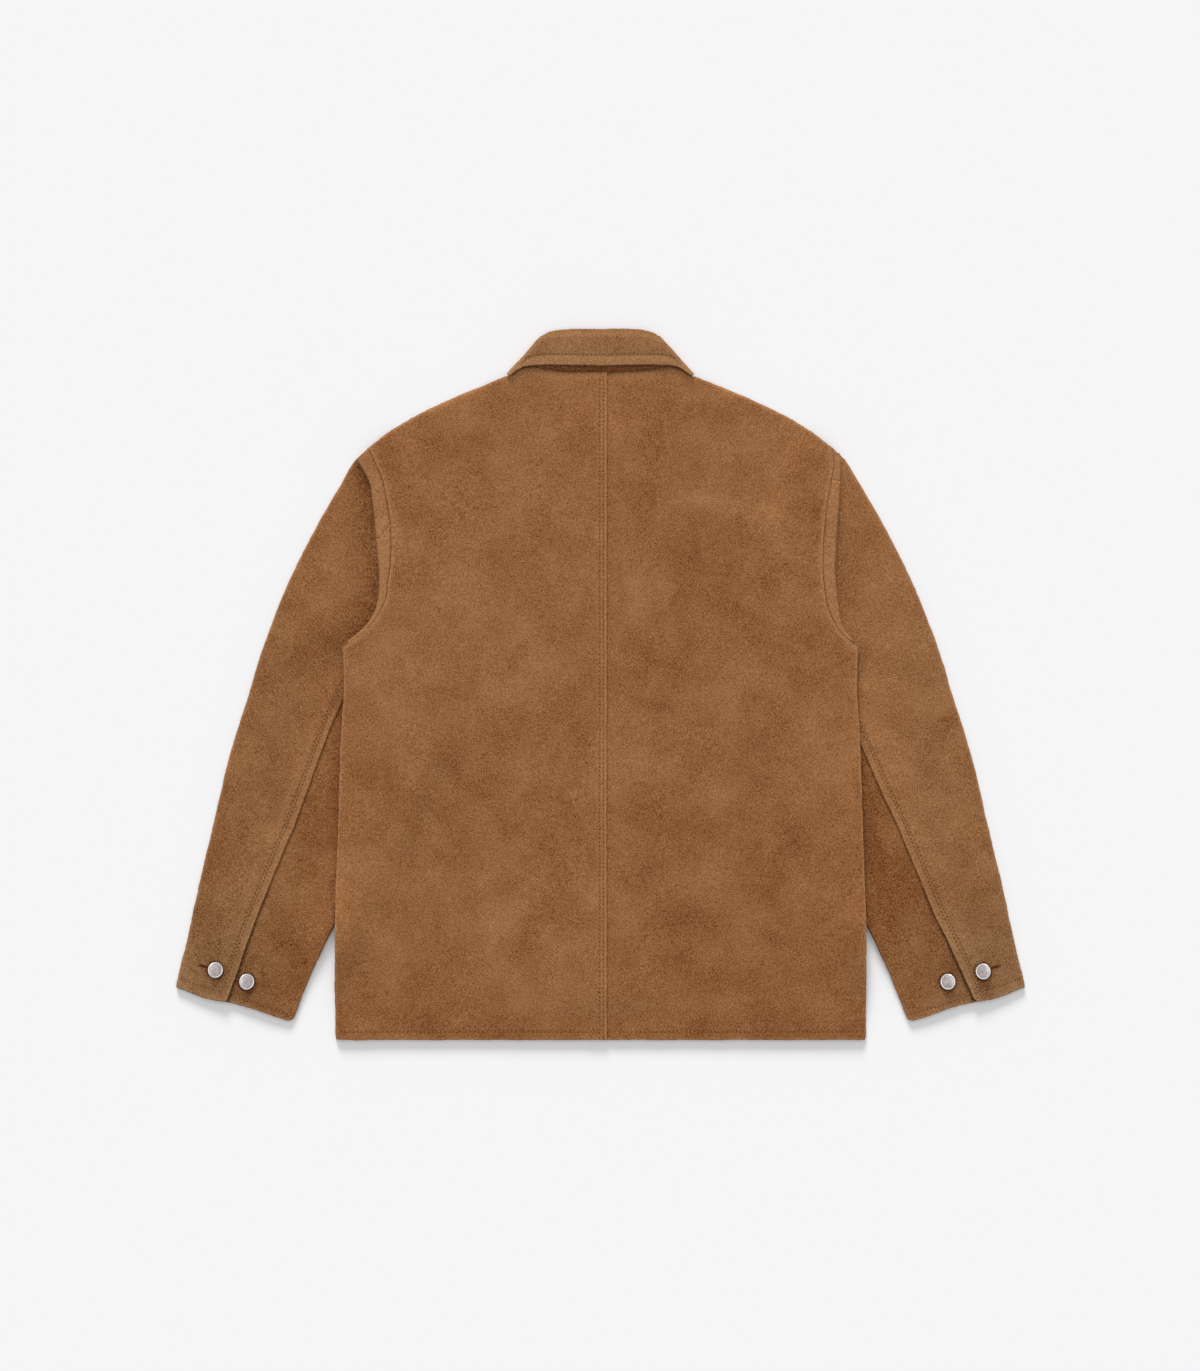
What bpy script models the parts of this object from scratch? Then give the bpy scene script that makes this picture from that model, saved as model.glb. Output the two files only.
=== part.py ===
"""A suede jacket laid flat on its front, back up.

X runs across the jacket with the wearer's left at -X, Y runs from hem to collar and Z is up.
Tables are in millimetres: "across" is measured from the centre back, "up" from the hem.
Each piece is the middle surface of its leather, given its thickness by Solidify.
"""

import bpy
import numpy as np

MM = 0.001
LENGTH = 768.0
WALL = 1.4
HEM_WALL = 2.2
COLLAR_WALL = 2.0
SEAM_GAP = 0.8
HEM_DEPTH = 10.0

# The body's half width at the hem, its heights at the armpit and at the neck, the depth over which
# its edges turn down to the front, and the length of the sleeve.
HALF_WIDTH = 286.0
ARMPIT_UP = 424.0
NECK_UP = 721.0
TURN_DEPTH = 7.0
SLEEVE_LENGTH = 540.0

# Heights of the middle surfaces over the floor.
FLOOR_LAYER = WALL / 2
BACK_LAYER = 5.3
SLEEVE_TOP_LAYER = 4.3
SLEEVE_ROOT_LAYER = 2.6
PLEAT_LAYER = 4.6
FRONT_OVER_SLEEVE = 6.9
BACK_OVER_SLEEVE = 9.0
LIFT_RAMP = 38.0
LIFT_EARLY = 8.0

# Laps: how far one panel runs over the next, and how each half gives way in height.
BACK_LAP_EDGE = 6.5
BACK_LAP_UNDER = 4.0
FRONT_LAP = 20.0
LAP_STEP = 0.9
SLEEVE_LAP = 11.0

SUEDE = (0.305, 0.130, 0.052, 1.0)
METAL = (0.66, 0.65, 0.62, 1.0)
SIDES = {"left": -1.0, "right": 1.0}

# Half outline of the body (across, up).
SIDE_EDGE = [(HALF_WIDTH, 0), (286.5, 121), (283, 240), (280, 330), (277, 380), (278, ARMPIT_UP)]
SHOULDER_LINE = [(102, 717), (137, 702.5), (186, 681), (224, 659.5), (250, 640)]
BACK_NECK = [(40, 722.4), (60, 725.6), (78, 728), (88, 724.5), (94.5, 719.2), (98.5, 717), (102, 716.8)]
FRONT_NECK = [(-FRONT_LAP, 640), (20, 641), (62, 660), (90, 690), (101, 715)]

# Armhole seam from shoulder tip to armpit (across, up), with the width of sleeve cloth that
# stands out past it before it folds under.
ARMHOLE = {
    "left": [(250, 640, 18), (242, 622, 15), (235, 605, 14.3), (230.5, 583, 15.5), (227, 560, 15.6),
             (225.9, 540, 15.6), (226.3, 518, 13.3), (228.4, 499, 10.2), (231.5, 478, 8), (238, 462, 5),
             (247, 449, 3.5), (261, 436, 3), (278, 424, 3)],
    "right": [(250, 640, 7), (251.5, 621, 7.5), (249, 605, 9.5), (246, 588, 11.8), (243.3, 571, 13),
              (241.5, 549, 13.3), (240.4, 528, 13.6), (240.3, 507, 12.6), (241.9, 486, 12.8),
              (244.6, 470, 11.5), (249, 458, 9), (256.5, 444, 5), (267.3, 432, 3), (278, 424, 3)],
}

# Edges of the flattened sleeve (across, up): outer silhouette, and inner fold, which runs
# under the body from the armpit until it comes out below.
SLEEVE_OUTER = [(250, 640), (264.6, 626.4), (277.6, 604.8), (302.9, 561.6), (335.9, 496.8), (361.8, 432),
                (382.3, 367.2), (402.3, 302.4), (417.4, 237.6), (433, 172.8), (447, 108), (459.4, 57.2)]
SLEEVE_INNER = [(190, 390), (192, 345), (206, 298), (228, 248), (254, 194), (289, 121), (313.7, 68),
                (333.2, 19.4)]

# Hidden fold at the sleeve's root, beneath the body, from the shoulder tip to the inner fold.
SLEEVE_ROOT = [(250, 640), (237, 610), (219, 576), (208, 540), (200, 500), (194, 460), (191, 424), (190, 390)]

# Rear sleeve seam (share of the sleeve's length, share of its width from the outer edge).
REAR_SEAM = {
    "left": [(0, 0.36), (0.11, 0.47), (0.2, 0.53), (0.38, 0.52), (0.6, 0.53), (0.73, 0.497), (1, 0.44)],
    "right": [(0, 0.38), (0.15, 0.54), (0.3, 0.61), (0.47, 0.6), (0.6, 0.58), (0.8, 0.54), (1, 0.43)],
}
FOREARM_SEAM = 0.3

# Grid rows of the body panels: heights up to the armpit, then shares of the armhole seam.
ARMPIT_SHARE = 0.635
PANEL_UPS = np.array([0, 9, 10, 60, 121, 180, 240, 290, 340, 380, 404, ARMPIT_UP])
ARMHOLE_ROWS = 1 - np.array([0, 0.05, 0.12, 0.2, 0.3, 0.4, 0.5, 0.6, 0.7, 0.8, 0.88, 0.94, 0.972, 0.988, 1.0])
FRONT_UPS = np.array([0, 9, 10, 60, 121, 200, 270, 340, 380, 404, ARMPIT_UP])
FRONT_ARMHOLE_ROWS = 1 - np.array([0, 0.05, 0.15, 0.3, 0.5, 0.7, 0.85, 0.95, 1.0])

# Where the sleeve lies beneath the body (up, across): inside this line the body lies low.
SLEEVE_UNDER_BODY = [(0, 345), (20, 326), (68, 303), (121, 281), (194, 245), (245, 222), (290, 202),
                     (340, 186), (390, 182), (424, 182), (460, 185), (500, 191), (540, 199), (576, 210),
                     (610, 227), (640, 240), (660, 256), (718, 330)]

# Outer edge of what the pleat covers (up, across).
PLEAT_COVER = [(372, 290), (424, 284), (445, 266), (465, 260), (500, 257), (560, 258), (600, 263), (640, 264)]

# Pleat where the sleeve folds at the armhole, as shares of the armhole seam: its end, and how far its
# fold runs ahead of the seam at the shoulder, so that it ends on the sleeve's outline.
PLEAT_END = 0.94
PLEAT_LEAD = 0.03

# Front closure and cuff buttons.
BUTTON_RADIUS = 8.5
BUTTON_PROFILE = [(0, 0.95), (0.7, 0.85), (0.85, 1.0), (1.0, 0.7), (1.0, 0.2), (0.9, 0), (0, 0)]
FRONT_BUTTON_HEIGHT = 2.2
CUFF_BUTTON_HEIGHT = 3.0
FRONT_BUTTONS_UP = [80, 205, 330, 455, 575]
CUFF_BUTTONS = {
    "left": [(416.2, 75.9, 6.0), (382.5, 63.2, 4.9)],
    "right": [(413.6, 74.4, 6.2), (375.7, 63.2, 5.3)],
}
RIDGE_HEIGHT = 2.7
RIDGE_HALF_WIDTH = 32.0

# Collar (across, up): the roll and the free edge of the fall, and the top and the seam of the stand,
# first along the back to the fold at the side of the neck, then along the front half beneath.
FALL = {
    "roll": [(0, 767.5), (34, 767.5), (50, 766), (60, 762)],
    "edge": [(0, 723.5), (30, 724.5), (60, 727.3), (86, 727.3), (101, 719)],
    "front_roll": [(60, 762), (68, 725), (53, 690), (12, 668)],
    "front_edge": [(101, 719), (112, 680), (100, 640), (48, 594)],
}
STAND = {
    "roll": [(0, 760), (36, 759.5), (49, 755)],
    "edge": [(0, 722.2), (40, 723.6), (60, 726.8), (78, 729.5)],
    "front_roll": [(49, 755), (57, 722), (45, 692), (8, 673)],
    "front_edge": [(78, 729.5), (85, 710), (83, 694), (57, 666.5), (8, 645.5)],
}
FALL_BACK_LAYER = 7.4
FALL_FRONT_LAYER = COLLAR_WALL / 2
STAND_FRONT_LAYER = 3.4


def smooth(rows, count):
    """Points at even steps along a cubic curve through the rows of a table."""
    points = np.array(rows, float)
    steps = np.hypot(np.diff(points[:, 0]), np.diff(points[:, 1]))
    along = np.concatenate([[0], np.cumsum(steps)])
    slopes = np.gradient(points, along, axis=0)
    fine = np.linspace(0, along[-1], 40 * len(points))
    i = np.clip(np.searchsorted(along, fine, side="right") - 1, 0, len(along) - 2)
    span = (along[i + 1] - along[i])[:, None]
    u = (fine - along[i])[:, None] / span
    curve = (2 * u**3 - 3 * u**2 + 1) * points[i] + (u**3 - 2 * u**2 + u) * span * slopes[i]
    curve += (3 * u**2 - 2 * u**3) * points[i + 1] + (u**3 - u**2) * span * slopes[i + 1]
    lengths = np.hypot(np.diff(curve[:, 0]), np.diff(curve[:, 1]))
    walked = np.concatenate([[0], np.cumsum(lengths)])
    even = np.linspace(0, walked[-1], count)
    return np.stack([np.interp(even, walked, curve[:, k]) for k in range(points.shape[1])], axis=1)


def at(curve, share):
    """Points of a curve at shares of its length."""
    steps = np.linspace(0, 1, len(curve))
    return np.stack([np.interp(share, steps, curve[:, k]) for k in range(curve.shape[1])], axis=-1)


def ease(u):
    """0 below 0, 1 above 1, and a smooth step between."""
    u = np.clip(u, 0, 1)
    return u * u * (3 - 2 * u)


def patch(low, high, inner, outer, s, t):
    """Grid of points between four boundary curves, rows along t and columns along s."""
    s, t = s[None, :, None], t[:, None, None]
    low, high, inner, outer = low[None], high[None], inner[:, None], outer[:, None]
    ruled = (1 - t) * low + t * high + (1 - s) * inner + s * outer
    corners = (1 - t) * ((1 - s) * low[:, :1] + s * low[:, -1:])
    corners = corners + t * ((1 - s) * high[:, :1] + s * high[:, -1:])
    return ruled - corners


def raised(across, up):
    """Share by which a body panel is lifted where the sleeve lies beneath it."""
    ups, edges = np.array(SLEEVE_UNDER_BODY, float).T
    edge = np.interp(up, ups, edges)
    return ease((across - edge + LIFT_EARLY + LIFT_RAMP) / LIFT_RAMP)


def along_front(across, up, reach):
    """Share of the lift over the row of front buttons."""
    middle = ease((reach - np.abs(across)) / (reach - RIDGE_HALF_WIDTH))
    return middle * ease((up - 15) / 40)


def over_collar(across, up):
    """Share of the lift over the front half of the collar."""
    outer = np.interp(up, [566, 594, 640, 680, 718], [66, 76, 114, 126, 122])
    return ease((outer + 14 - across) / 14) * ease((up - 560) / 24)


def front_height(across, up, side):
    """Middle height of a front panel; the right front lies on the left one at the centre."""
    height = FLOOR_LAYER + (FRONT_OVER_SLEEVE - FLOOR_LAYER) * raised(across, up)
    height = height + RIDGE_HEIGHT * np.maximum(along_front(across, up, 64), over_collar(across, up))
    if side == "right":
        height = height + (WALL + 0.5) * ease((FRONT_LAP + 28 - across) / 14)
    return height


def back_height(across, up):
    """Middle height of a back panel before its edges turn down."""
    ridge = RIDGE_HEIGHT * along_front(across, up, 80) * ease((700 - up) / 50)
    return BACK_LAYER + ridge + (BACK_OVER_SLEEVE - BACK_LAYER) * raised(across, up)


def principled(name, colour, roughness, metallic):
    material = bpy.data.materials.new(name)
    material.use_nodes = True
    shader = material.node_tree.nodes["Principled BSDF"]
    shader.inputs["Base Color"].default_value = colour
    shader.inputs["Roughness"].default_value = roughness
    shader.inputs["Metallic"].default_value = metallic
    return material


def sheet_faces(ids):
    quads = np.stack([ids[:-1, :-1], ids[:-1, 1:], ids[1:, 1:], ids[1:, :-1]], axis=-1)
    return quads.reshape(-1, 4)


def leather(name, grid, hem=None, flap=None, mirror=1.0, wall=WALL):
    """One cloth piece from a grid of middle points in millimetres (across, up, height).

    hem is 1 where the edge is turned in. flap is a second grid whose first row is the main grid's
    first row from a given column on.
    """
    ids = np.arange(grid.shape[0] * grid.shape[1]).reshape(grid.shape[:2])
    points, faces = grid.reshape(-1, 3), sheet_faces(ids)
    if flap is not None:
        flap_grid, start = flap
        rows, columns = flap_grid.shape[:2]
        more = len(points) - columns + np.arange(rows * columns).reshape(rows, columns)
        more[0] = ids[0, start:start + columns]
        points = np.concatenate([points, flap_grid[1:].reshape(-1, 3)])
        faces = np.concatenate([faces, sheet_faces(more)[:, ::-1]])
    points = points * [mirror * MM, MM, MM] - [0, LENGTH * MM / 2, 0]
    mesh = bpy.data.meshes.new(name)
    mesh.from_pydata(points.tolist(), [], faces.tolist())
    mesh.shade_smooth()
    mesh.materials.append(principled(name, SUEDE, 0.9, 0.0))
    piece = bpy.data.objects.new(name, mesh)
    garment.objects.link(piece)
    solid = piece.modifiers.new("thickness", "SOLIDIFY")
    solid.offset = 0.0
    solid.thickness = wall * MM
    if hem is not None:
        group = piece.vertex_groups.new(name="turned_hem")
        group.add(np.flatnonzero(hem.reshape(-1)).tolist(), 1.0, "REPLACE")
        solid.thickness = HEM_WALL * MM
        solid.vertex_group = group.name
        solid.thickness_vertex_group = wall / HEM_WALL
    return piece


def armhole(side):
    """Armhole seam from shoulder tip to armpit, with its outward direction."""
    return with_outward(smooth(ARMHOLE[side], 241))


def with_outward(curve):
    tangent = np.gradient(curve[:, :2], axis=0)
    tangent /= np.linalg.norm(tangent, axis=1)[:, None]
    return curve, np.stack([-tangent[:, 1], tangent[:, 0]], axis=1)


def body_panel(side, inner_edge, near_columns, ups, armhole_rows, neck, top, pull):
    """Grid of (across, up) for a body panel, with its shares s across and t up."""
    width = HALF_WIDTH - inner_edge
    near = np.array(near_columns) / width
    neck_share = 0.4
    s = np.concatenate([near, np.linspace(near[-1], neck_share, 4)[1:], np.linspace(neck_share, 1, 8)[1:-1],
                        1 - np.array([TURN_DEPTH, 3.5, 1.3, 0]) / HALF_WIDTH])
    t = np.concatenate([ups / ARMPIT_UP * ARMPIT_SHARE, 1 - armhole_rows[1:] * (1 - ARMPIT_SHARE)])
    seam, outward = armhole(side)
    seam = at(seam[:, :2] - outward * pull, armhole_rows)
    outer = np.concatenate([at(smooth(SIDE_EDGE, 200), ups / ARMPIT_UP)[:-1], seam])
    neck_curve, shoulder = smooth(neck, 100), smooth(SHOULDER_LINE, 100)
    high = np.where((s <= neck_share)[:, None], at(neck_curve, s / neck_share),
                    at(shoulder, (s - neck_share) / (1 - neck_share)))
    low = np.stack([inner_edge + s * width, 0 * s], axis=1)
    inner = np.stack([inner_edge + 0 * t, t * top], axis=1)
    high[0], outer[-1] = inner[-1], high[-1]
    return patch(low, high, inner, outer, s, t), s, t


def turned_down(across, s, t):
    """Share of the way down to the front panel: 1 on the side seam and on the shoulder seam."""
    below_armpit = (t < ARMPIT_SHARE - 0.02)[:, None]
    at_side = np.clip(1 - (1 - s)[None, :] * HALF_WIDTH / TURN_DEPTH, 0, 1) ** 2 * below_armpit
    at_top = np.clip(1 - (1 - t)[:, None] * NECK_UP / TURN_DEPTH, 0, 1) ** 2 * (across > 104)
    return np.maximum(at_side, at_top)


def back(side):
    """A back panel; the left one laps over the right one at the centre seam."""
    left = side == "left"
    inner_edge = -BACK_LAP_EDGE if left else -BACK_LAP_UNDER
    neck = [(inner_edge, NECK_UP)] + BACK_NECK
    plan, s, t = body_panel(side, inner_edge, [0, 13.5, 23], PANEL_UPS, ARMHOLE_ROWS, neck, NECK_UP, 0.0)
    across, up = plan[..., 0], plan[..., 1]
    hem = (up < HEM_DEPTH - 0.5) & (across > 20)
    lap = ease((18 - across) / 10) * LAP_STEP
    height = back_height(across, up) + (lap if left else -lap)
    thick = np.where(hem, HEM_WALL, WALL)
    resting = front_height(across, up, side) + WALL / 2 + 0.4 + np.where(hem, HEM_WALL - WALL, 0)
    height = height - hem * (HEM_WALL - WALL) / 2
    drop = np.clip(height - resting - thick / 2, 0, 3.0)
    height = height - turned_down(across, s, t) * drop
    return leather("back_" + side, np.dstack([plan, height]), hem, mirror=SIDES[side])


def front(side):
    """A front panel, lying on its face."""
    plan, s, t = body_panel(
        side, -FRONT_LAP, [0, 43, 58, 80], FRONT_UPS, FRONT_ARMHOLE_ROWS, FRONT_NECK, 640, 1.0)
    across, up = plan[..., 0], plan[..., 1]
    hem = (up < HEM_DEPTH - 0.5) & (across > 50)
    height = front_height(across, up, side) + hem * (HEM_WALL - WALL) / 2
    return leather("front_" + side, np.dstack([plan, height]), hem, mirror=SIDES[side])


def sleeve_edges(share):
    outer, inner = smooth(SLEEVE_OUTER, 400), smooth(SLEEVE_INNER, 400)
    return at(outer, share), at(inner, share)


def sleeve_plan(share, across_share, root_offset):
    """Plan points of the flattened sleeve, at shares of its length and of its width.

    Straight lines between the two edges, bowed to the hidden root near the shoulder.
    """
    outer, inner = sleeve_edges(share)
    tip, pit = (edge[0] for edge in sleeve_edges(np.array([0.0])))
    root, outward = with_outward(smooth(SLEEVE_ROOT, 241))
    wanted = at(root, across_share) + at(outward, across_share) * root_offset
    bow = np.clip(1 - share / 0.35, 0, 1)[..., None] ** 2
    across_share = across_share[..., None]
    return outer + (inner - outer) * across_share + bow * (wanted - tip - (pit - tip) * across_share)


def sleeve_top(across, up):
    """Middle height of the sleeve's upper layer: flatter at the root, where the pleat lies on it."""
    ups, edges = np.array(PLEAT_COVER, float).T
    covered = ease((np.interp(up, ups, edges) + 26 - across) / 26) * ease((up - 372) / 26)
    return SLEEVE_TOP_LAYER - (SLEEVE_TOP_LAYER - SLEEVE_ROOT_LAYER) * covered


def sleeve_rows():
    last = 1 - HEM_DEPTH / SLEEVE_LENGTH
    return np.concatenate([[0, 0.02, 0.05], np.linspace(0.09, last, 12), [last + 0.0018, 1.0]])


def sleeve_piece(side, name, fold_at, top_steps, floor_steps, lap_sign, pleat_range):
    """An upper or under sleeve: its upper layer, folded edge and lower layer as one sheet."""
    share = sleeve_rows()
    outer, inner = sleeve_edges(share)
    width = np.linalg.norm(outer - inner, axis=1)[:, None]
    shares, places = np.array(REAR_SEAM[side], float).T
    seam = np.interp(share, shares, places)[:, None]
    lapped = ease((share - 0.2) / 0.05)[:, None]
    start, forearm = seam, FOREARM_SEAM - 0.001
    if fold_at == "inner":
        start = seam + 0.003 - (SLEEVE_LAP / width + 0.003) * ease((share - 0.26) / 0.07)[:, None]
        forearm = FOREARM_SEAM + 0.001
    edge_line = 0.02 if fold_at == "outer" else 0.98
    edge_plan = sleeve_plan(share, edge_line + 0 * share, 0.0)
    radius = (sleeve_top(edge_plan[:, 0], edge_plan[:, 1])[:, None] - FLOOR_LAYER) / 2
    angles = np.radians([90, 54, 18, -18, -54, -90])[None, :]
    reach = (radius * (1 - np.cos(angles)) + WALL / 2) / width
    fold = reach if fold_at == "outer" else 1 - reach
    top = start + (fold[:, :1] - start) * np.array(top_steps)[None, :]
    floor = fold[:, -1:] + (forearm - fold[:, -1:]) * np.array(floor_steps)[None, :]
    across_share = np.concatenate([top[:, :-1], fold, floor[:, 1:]], axis=1)
    folded = FLOOR_LAYER + radius * (1 + np.sin(angles))
    is_top = np.concatenate([top[:, :-1] > -1, folded > FLOOR_LAYER + radius, floor[:, 1:] < -1], axis=1)
    root_offset = np.where(is_top, (PLEAT_LAYER - SLEEVE_ROOT_LAYER) / 2, 0.0)[..., None]
    plan = sleeve_plan(share[:, None] + 0 * across_share, across_share, root_offset)
    distance = np.abs(top - seam) * width
    columns = top.shape[1] - 1
    upper = sleeve_top(plan[..., 0], plan[..., 1])[:, :columns]
    upper = upper + (lap_sign * LAP_STEP * ease((24 - distance) / 10) * lapped)[:, :-1]
    height = np.concatenate([upper, folded, 0 * floor[:, 1:] + FLOOR_LAYER], axis=1)
    flat = np.concatenate([(distance > 14)[:, :-1], fold < -1, floor[:, 1:] > -1], axis=1)
    hem = flat & (share > 1 - (HEM_DEPTH - 0.5) / SLEEVE_LENGTH)[:, None]
    height = height - hem * np.where(is_top, 1, -1) * (HEM_WALL - WALL) / 2
    grid = np.dstack([plan, height])
    flap = pleat(side, grid[0, :columns], across_share[0, :columns], pleat_range)
    return leather(name, grid, hem, flap, SIDES[side])


def pleat(side, first_row, across_share, pleat_range):
    """The Z-shaped fold at the armhole: under, out past the seam, and back over to the seam.

    Gives its grid, whose first row is the sleeve's own, and the column it starts from.
    """
    chosen = np.flatnonzero((across_share >= pleat_range[0]) & (across_share <= pleat_range[1]))
    root_share = across_share[chosen]
    first = root_share.min() if pleat_range[0] == 0 else 0.0
    share = root_share - first * (1 - root_share / pleat_range[1]) / (1 - first / pleat_range[1])
    curve, outward = armhole(side)
    stops = ARMHOLE_ROWS[::-1]
    corners = at(curve, stops)
    seam = np.stack([np.interp(share, stops, corners[:, k]) for k in range(3)], axis=-1)
    away, root_away = at(outward, share), at(with_outward(smooth(SLEEVE_ROOT, 241))[1], root_share)
    top = back_height(seam[:, 0], seam[:, 1])
    turn = np.radians([0, 45, 90, 135, 180])[:, None]
    small = (PLEAT_LAYER - SLEEVE_ROOT_LAYER) / 2
    large = (top - PLEAT_LAYER) / 2
    under = first_row[chosen, :2] - root_away * small * np.sin(turn)[..., None]
    under_height = SLEEVE_ROOT_LAYER + small * (1 - np.cos(turn)) + 0 * share
    reach = seam[:, 2] - large + large * np.sin(turn)
    lead = PLEAT_LEAD * np.clip(1 - share / 0.1, 0, 1) ** 2
    over = at(curve, share + lead)[:, :2] + away * reach[..., None]
    over_height = PLEAT_LAYER + large * (1 - np.cos(turn))
    edge = seam[None, :, :2] + away * SEAM_GAP
    plan = np.concatenate([under, over, edge])
    return np.dstack([plan, np.concatenate([under_height, over_height, top[None]])]), chosen[0]


def upper_sleeve(side):
    sleeve_piece(side, "upper_sleeve_" + side, "outer", [0, 0.07, 0.14, 0.24, 0.4, 0.56, 0.72, 0.86, 1],
                 [0, 0.25, 0.5, 0.75, 1], 1, (0.0, REAR_SEAM[side][0][1]))


def under_sleeve(side):
    sleeve_piece(side, "under_sleeve_" + side, "inner", [0, 0.12, 0.2, 0.3, 0.45, 0.6, 0.75, 0.88, 1],
                 [0, 0.2, 0.4, 0.6, 0.8, 1], -1, (REAR_SEAM[side][0][1], PLEAT_END))


def collar_half(lines, levels, fold_radius, rows):
    """Grid of half a collar band, from the centre back round the neck fold to the front end."""
    back_roll, back_edge = (at(smooth(lines[k], 100), np.linspace(0, 1, 8)) for k in ("roll", "edge"))
    front_roll, front_edge = (
        at(smooth(lines[k], 100), np.linspace(0, 1, 7)) for k in ("front_roll", "front_edge"))
    angles = np.radians([90, 54, 18, -18, -54, -90])[None, :]
    along = (back_edge[-1] - back_roll[-1]) / np.linalg.norm(back_edge[-1] - back_roll[-1])
    outward = np.array([-along[1], along[0]]) * fold_radius
    share = np.array(rows)[:, None, None]
    back = back_roll + share * (back_edge - back_roll) - outward
    front = front_roll + share * (front_edge - front_roll) - outward
    near_fold = np.linspace(0, 1, 8)[None, :, None] ** 2
    back = back + outward * (1 - near_fold)
    front = front + outward * (np.linspace(0, 1, 7)[None, :, None] ** 0.5)
    turned = back[:, -1:] + outward * np.cos(angles)[..., None]
    middle, reach = sum(levels) / 2, (levels[0] - levels[1]) / 2
    plan = np.concatenate([back[:, :-1], turned, front[:, 1:]], axis=1)
    side_of = np.concatenate([np.ones(7), np.sin(angles[0]), -np.ones(6)])
    return np.dstack([plan, middle + reach * side_of + 0 * plan[..., 0]])


def collar_band(name, lines, levels, fold_radius, rows, wall):
    """A collar piece with both halves, mirrored about the centre back."""
    half = collar_half(lines, levels, fold_radius, rows)
    other = half[:, :0:-1] * [-1, 1, 1]
    return leather(name, np.concatenate([other, half], axis=1), wall=wall)


def collar():
    collar_band("collar_fall", FALL, (FALL_BACK_LAYER, FALL_FRONT_LAYER), 3.2,
                [-0.005, 0, 0.02, 0.07, 0.3, 0.55, 0.8, 1], COLLAR_WALL)
    collar_band("collar_stand", STAND, (BACK_LAYER, STAND_FRONT_LAYER), 0.95, [0, 0.33, 0.66, 1], WALL)


def button(name, across, up, base, height, face_down=False):
    """A turned metal cap: a low dome in a rim."""
    profile = [(r * BUTTON_RADIUS * MM, 0, z * height * MM) for r, z in BUTTON_PROFILE]
    mesh = bpy.data.meshes.new(name)
    mesh.from_pydata(profile, [(i, i + 1) for i in range(len(profile) - 1)], [])
    mesh.materials.append(principled(name, METAL, 0.35, 1.0))
    cap = bpy.data.objects.new(name, mesh)
    garment.objects.link(cap)
    turn = cap.modifiers.new("turn", "SCREW")
    turn.steps = turn.render_steps = 16
    turn.use_merge_vertices = True
    turn.merge_threshold = 0.00001
    cap.location = (across * MM, (up - LENGTH / 2) * MM, base * MM)
    if face_down:
        cap.rotation_euler = (np.pi, 0, 0)
        cap.location.z = (base + height) * MM
    return cap


def buttons():
    for side, places in CUFF_BUTTONS.items():
        for number, (across, up, base) in enumerate(places, 1):
            button(f"cuff_button_{side}_{number}", across * SIDES[side], up, base, CUFF_BUTTON_HEIGHT)
    for number, up in enumerate(FRONT_BUTTONS_UP, 1):
        button(f"front_button_{number}", 0, up, 0, FRONT_BUTTON_HEIGHT, face_down=True)


def main():
    for thing in list(bpy.data.objects):
        bpy.data.objects.remove(thing, do_unlink=True)
    bpy.context.scene.collection.children.link(garment)
    for side in SIDES:
        back(side)
        front(side)
        upper_sleeve(side)
        under_sleeve(side)
    collar()
    buttons()


garment = bpy.data.collections.new("suede_jacket")
main()
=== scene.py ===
# %% [markdown]
# # A suede jacket, laid flat on its front
#
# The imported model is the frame: it gives every piece its place. Here each cloth piece is drawn
# again from the same curves on a finer grid, with its nap, its stitches and its worn edges.
# Lengths in tables are millimetres: "across" from the centre back and "up" from the hem.

import bpy
import numpy as np
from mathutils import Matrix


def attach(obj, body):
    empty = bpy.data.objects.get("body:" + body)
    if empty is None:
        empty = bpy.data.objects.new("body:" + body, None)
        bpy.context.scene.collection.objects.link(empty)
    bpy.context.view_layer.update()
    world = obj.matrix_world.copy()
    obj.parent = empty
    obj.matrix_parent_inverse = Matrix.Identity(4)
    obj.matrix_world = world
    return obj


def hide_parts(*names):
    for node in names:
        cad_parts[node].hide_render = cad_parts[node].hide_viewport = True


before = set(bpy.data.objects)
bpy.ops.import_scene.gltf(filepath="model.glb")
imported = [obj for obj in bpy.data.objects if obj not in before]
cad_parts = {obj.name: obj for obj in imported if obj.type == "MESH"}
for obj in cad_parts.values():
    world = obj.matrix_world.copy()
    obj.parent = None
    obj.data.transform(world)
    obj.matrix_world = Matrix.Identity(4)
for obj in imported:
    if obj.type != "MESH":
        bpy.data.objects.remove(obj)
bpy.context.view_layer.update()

# %% [markdown]
# ## Named sizes
#
# Heights are those of the middle of each layer of suede over the floor, as in the model.

# %% Sizes
MM = 0.001
LENGTH = 768.0
WALL = 1.4
HEM_WALL = 2.2
COLLAR_WALL = 2.0
LAYER_GAP = 0.4
SEAM_GAP = 0.4
SEAM_SINK = 0.35
HEM_DEPTH = 10.0
HALF_WIDTH = 286.0
ARMPIT_UP = 424.0
NECK_UP = 721.0
TURN_DEPTH = 7.0
SLEEVE_LENGTH = 540.0

FLOOR_LAYER = WALL / 2
BACK_LAYER = 5.3
SLEEVE_TOP_LAYER = 4.3
SLEEVE_ROOT_LAYER = 2.6
PLEAT_LAYER = 4.6
FRONT_OVER_SLEEVE = 6.9
BACK_OVER_SLEEVE = 9.0
LIFT_RAMP = 38.0
LIFT_EARLY = 8.0

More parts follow.
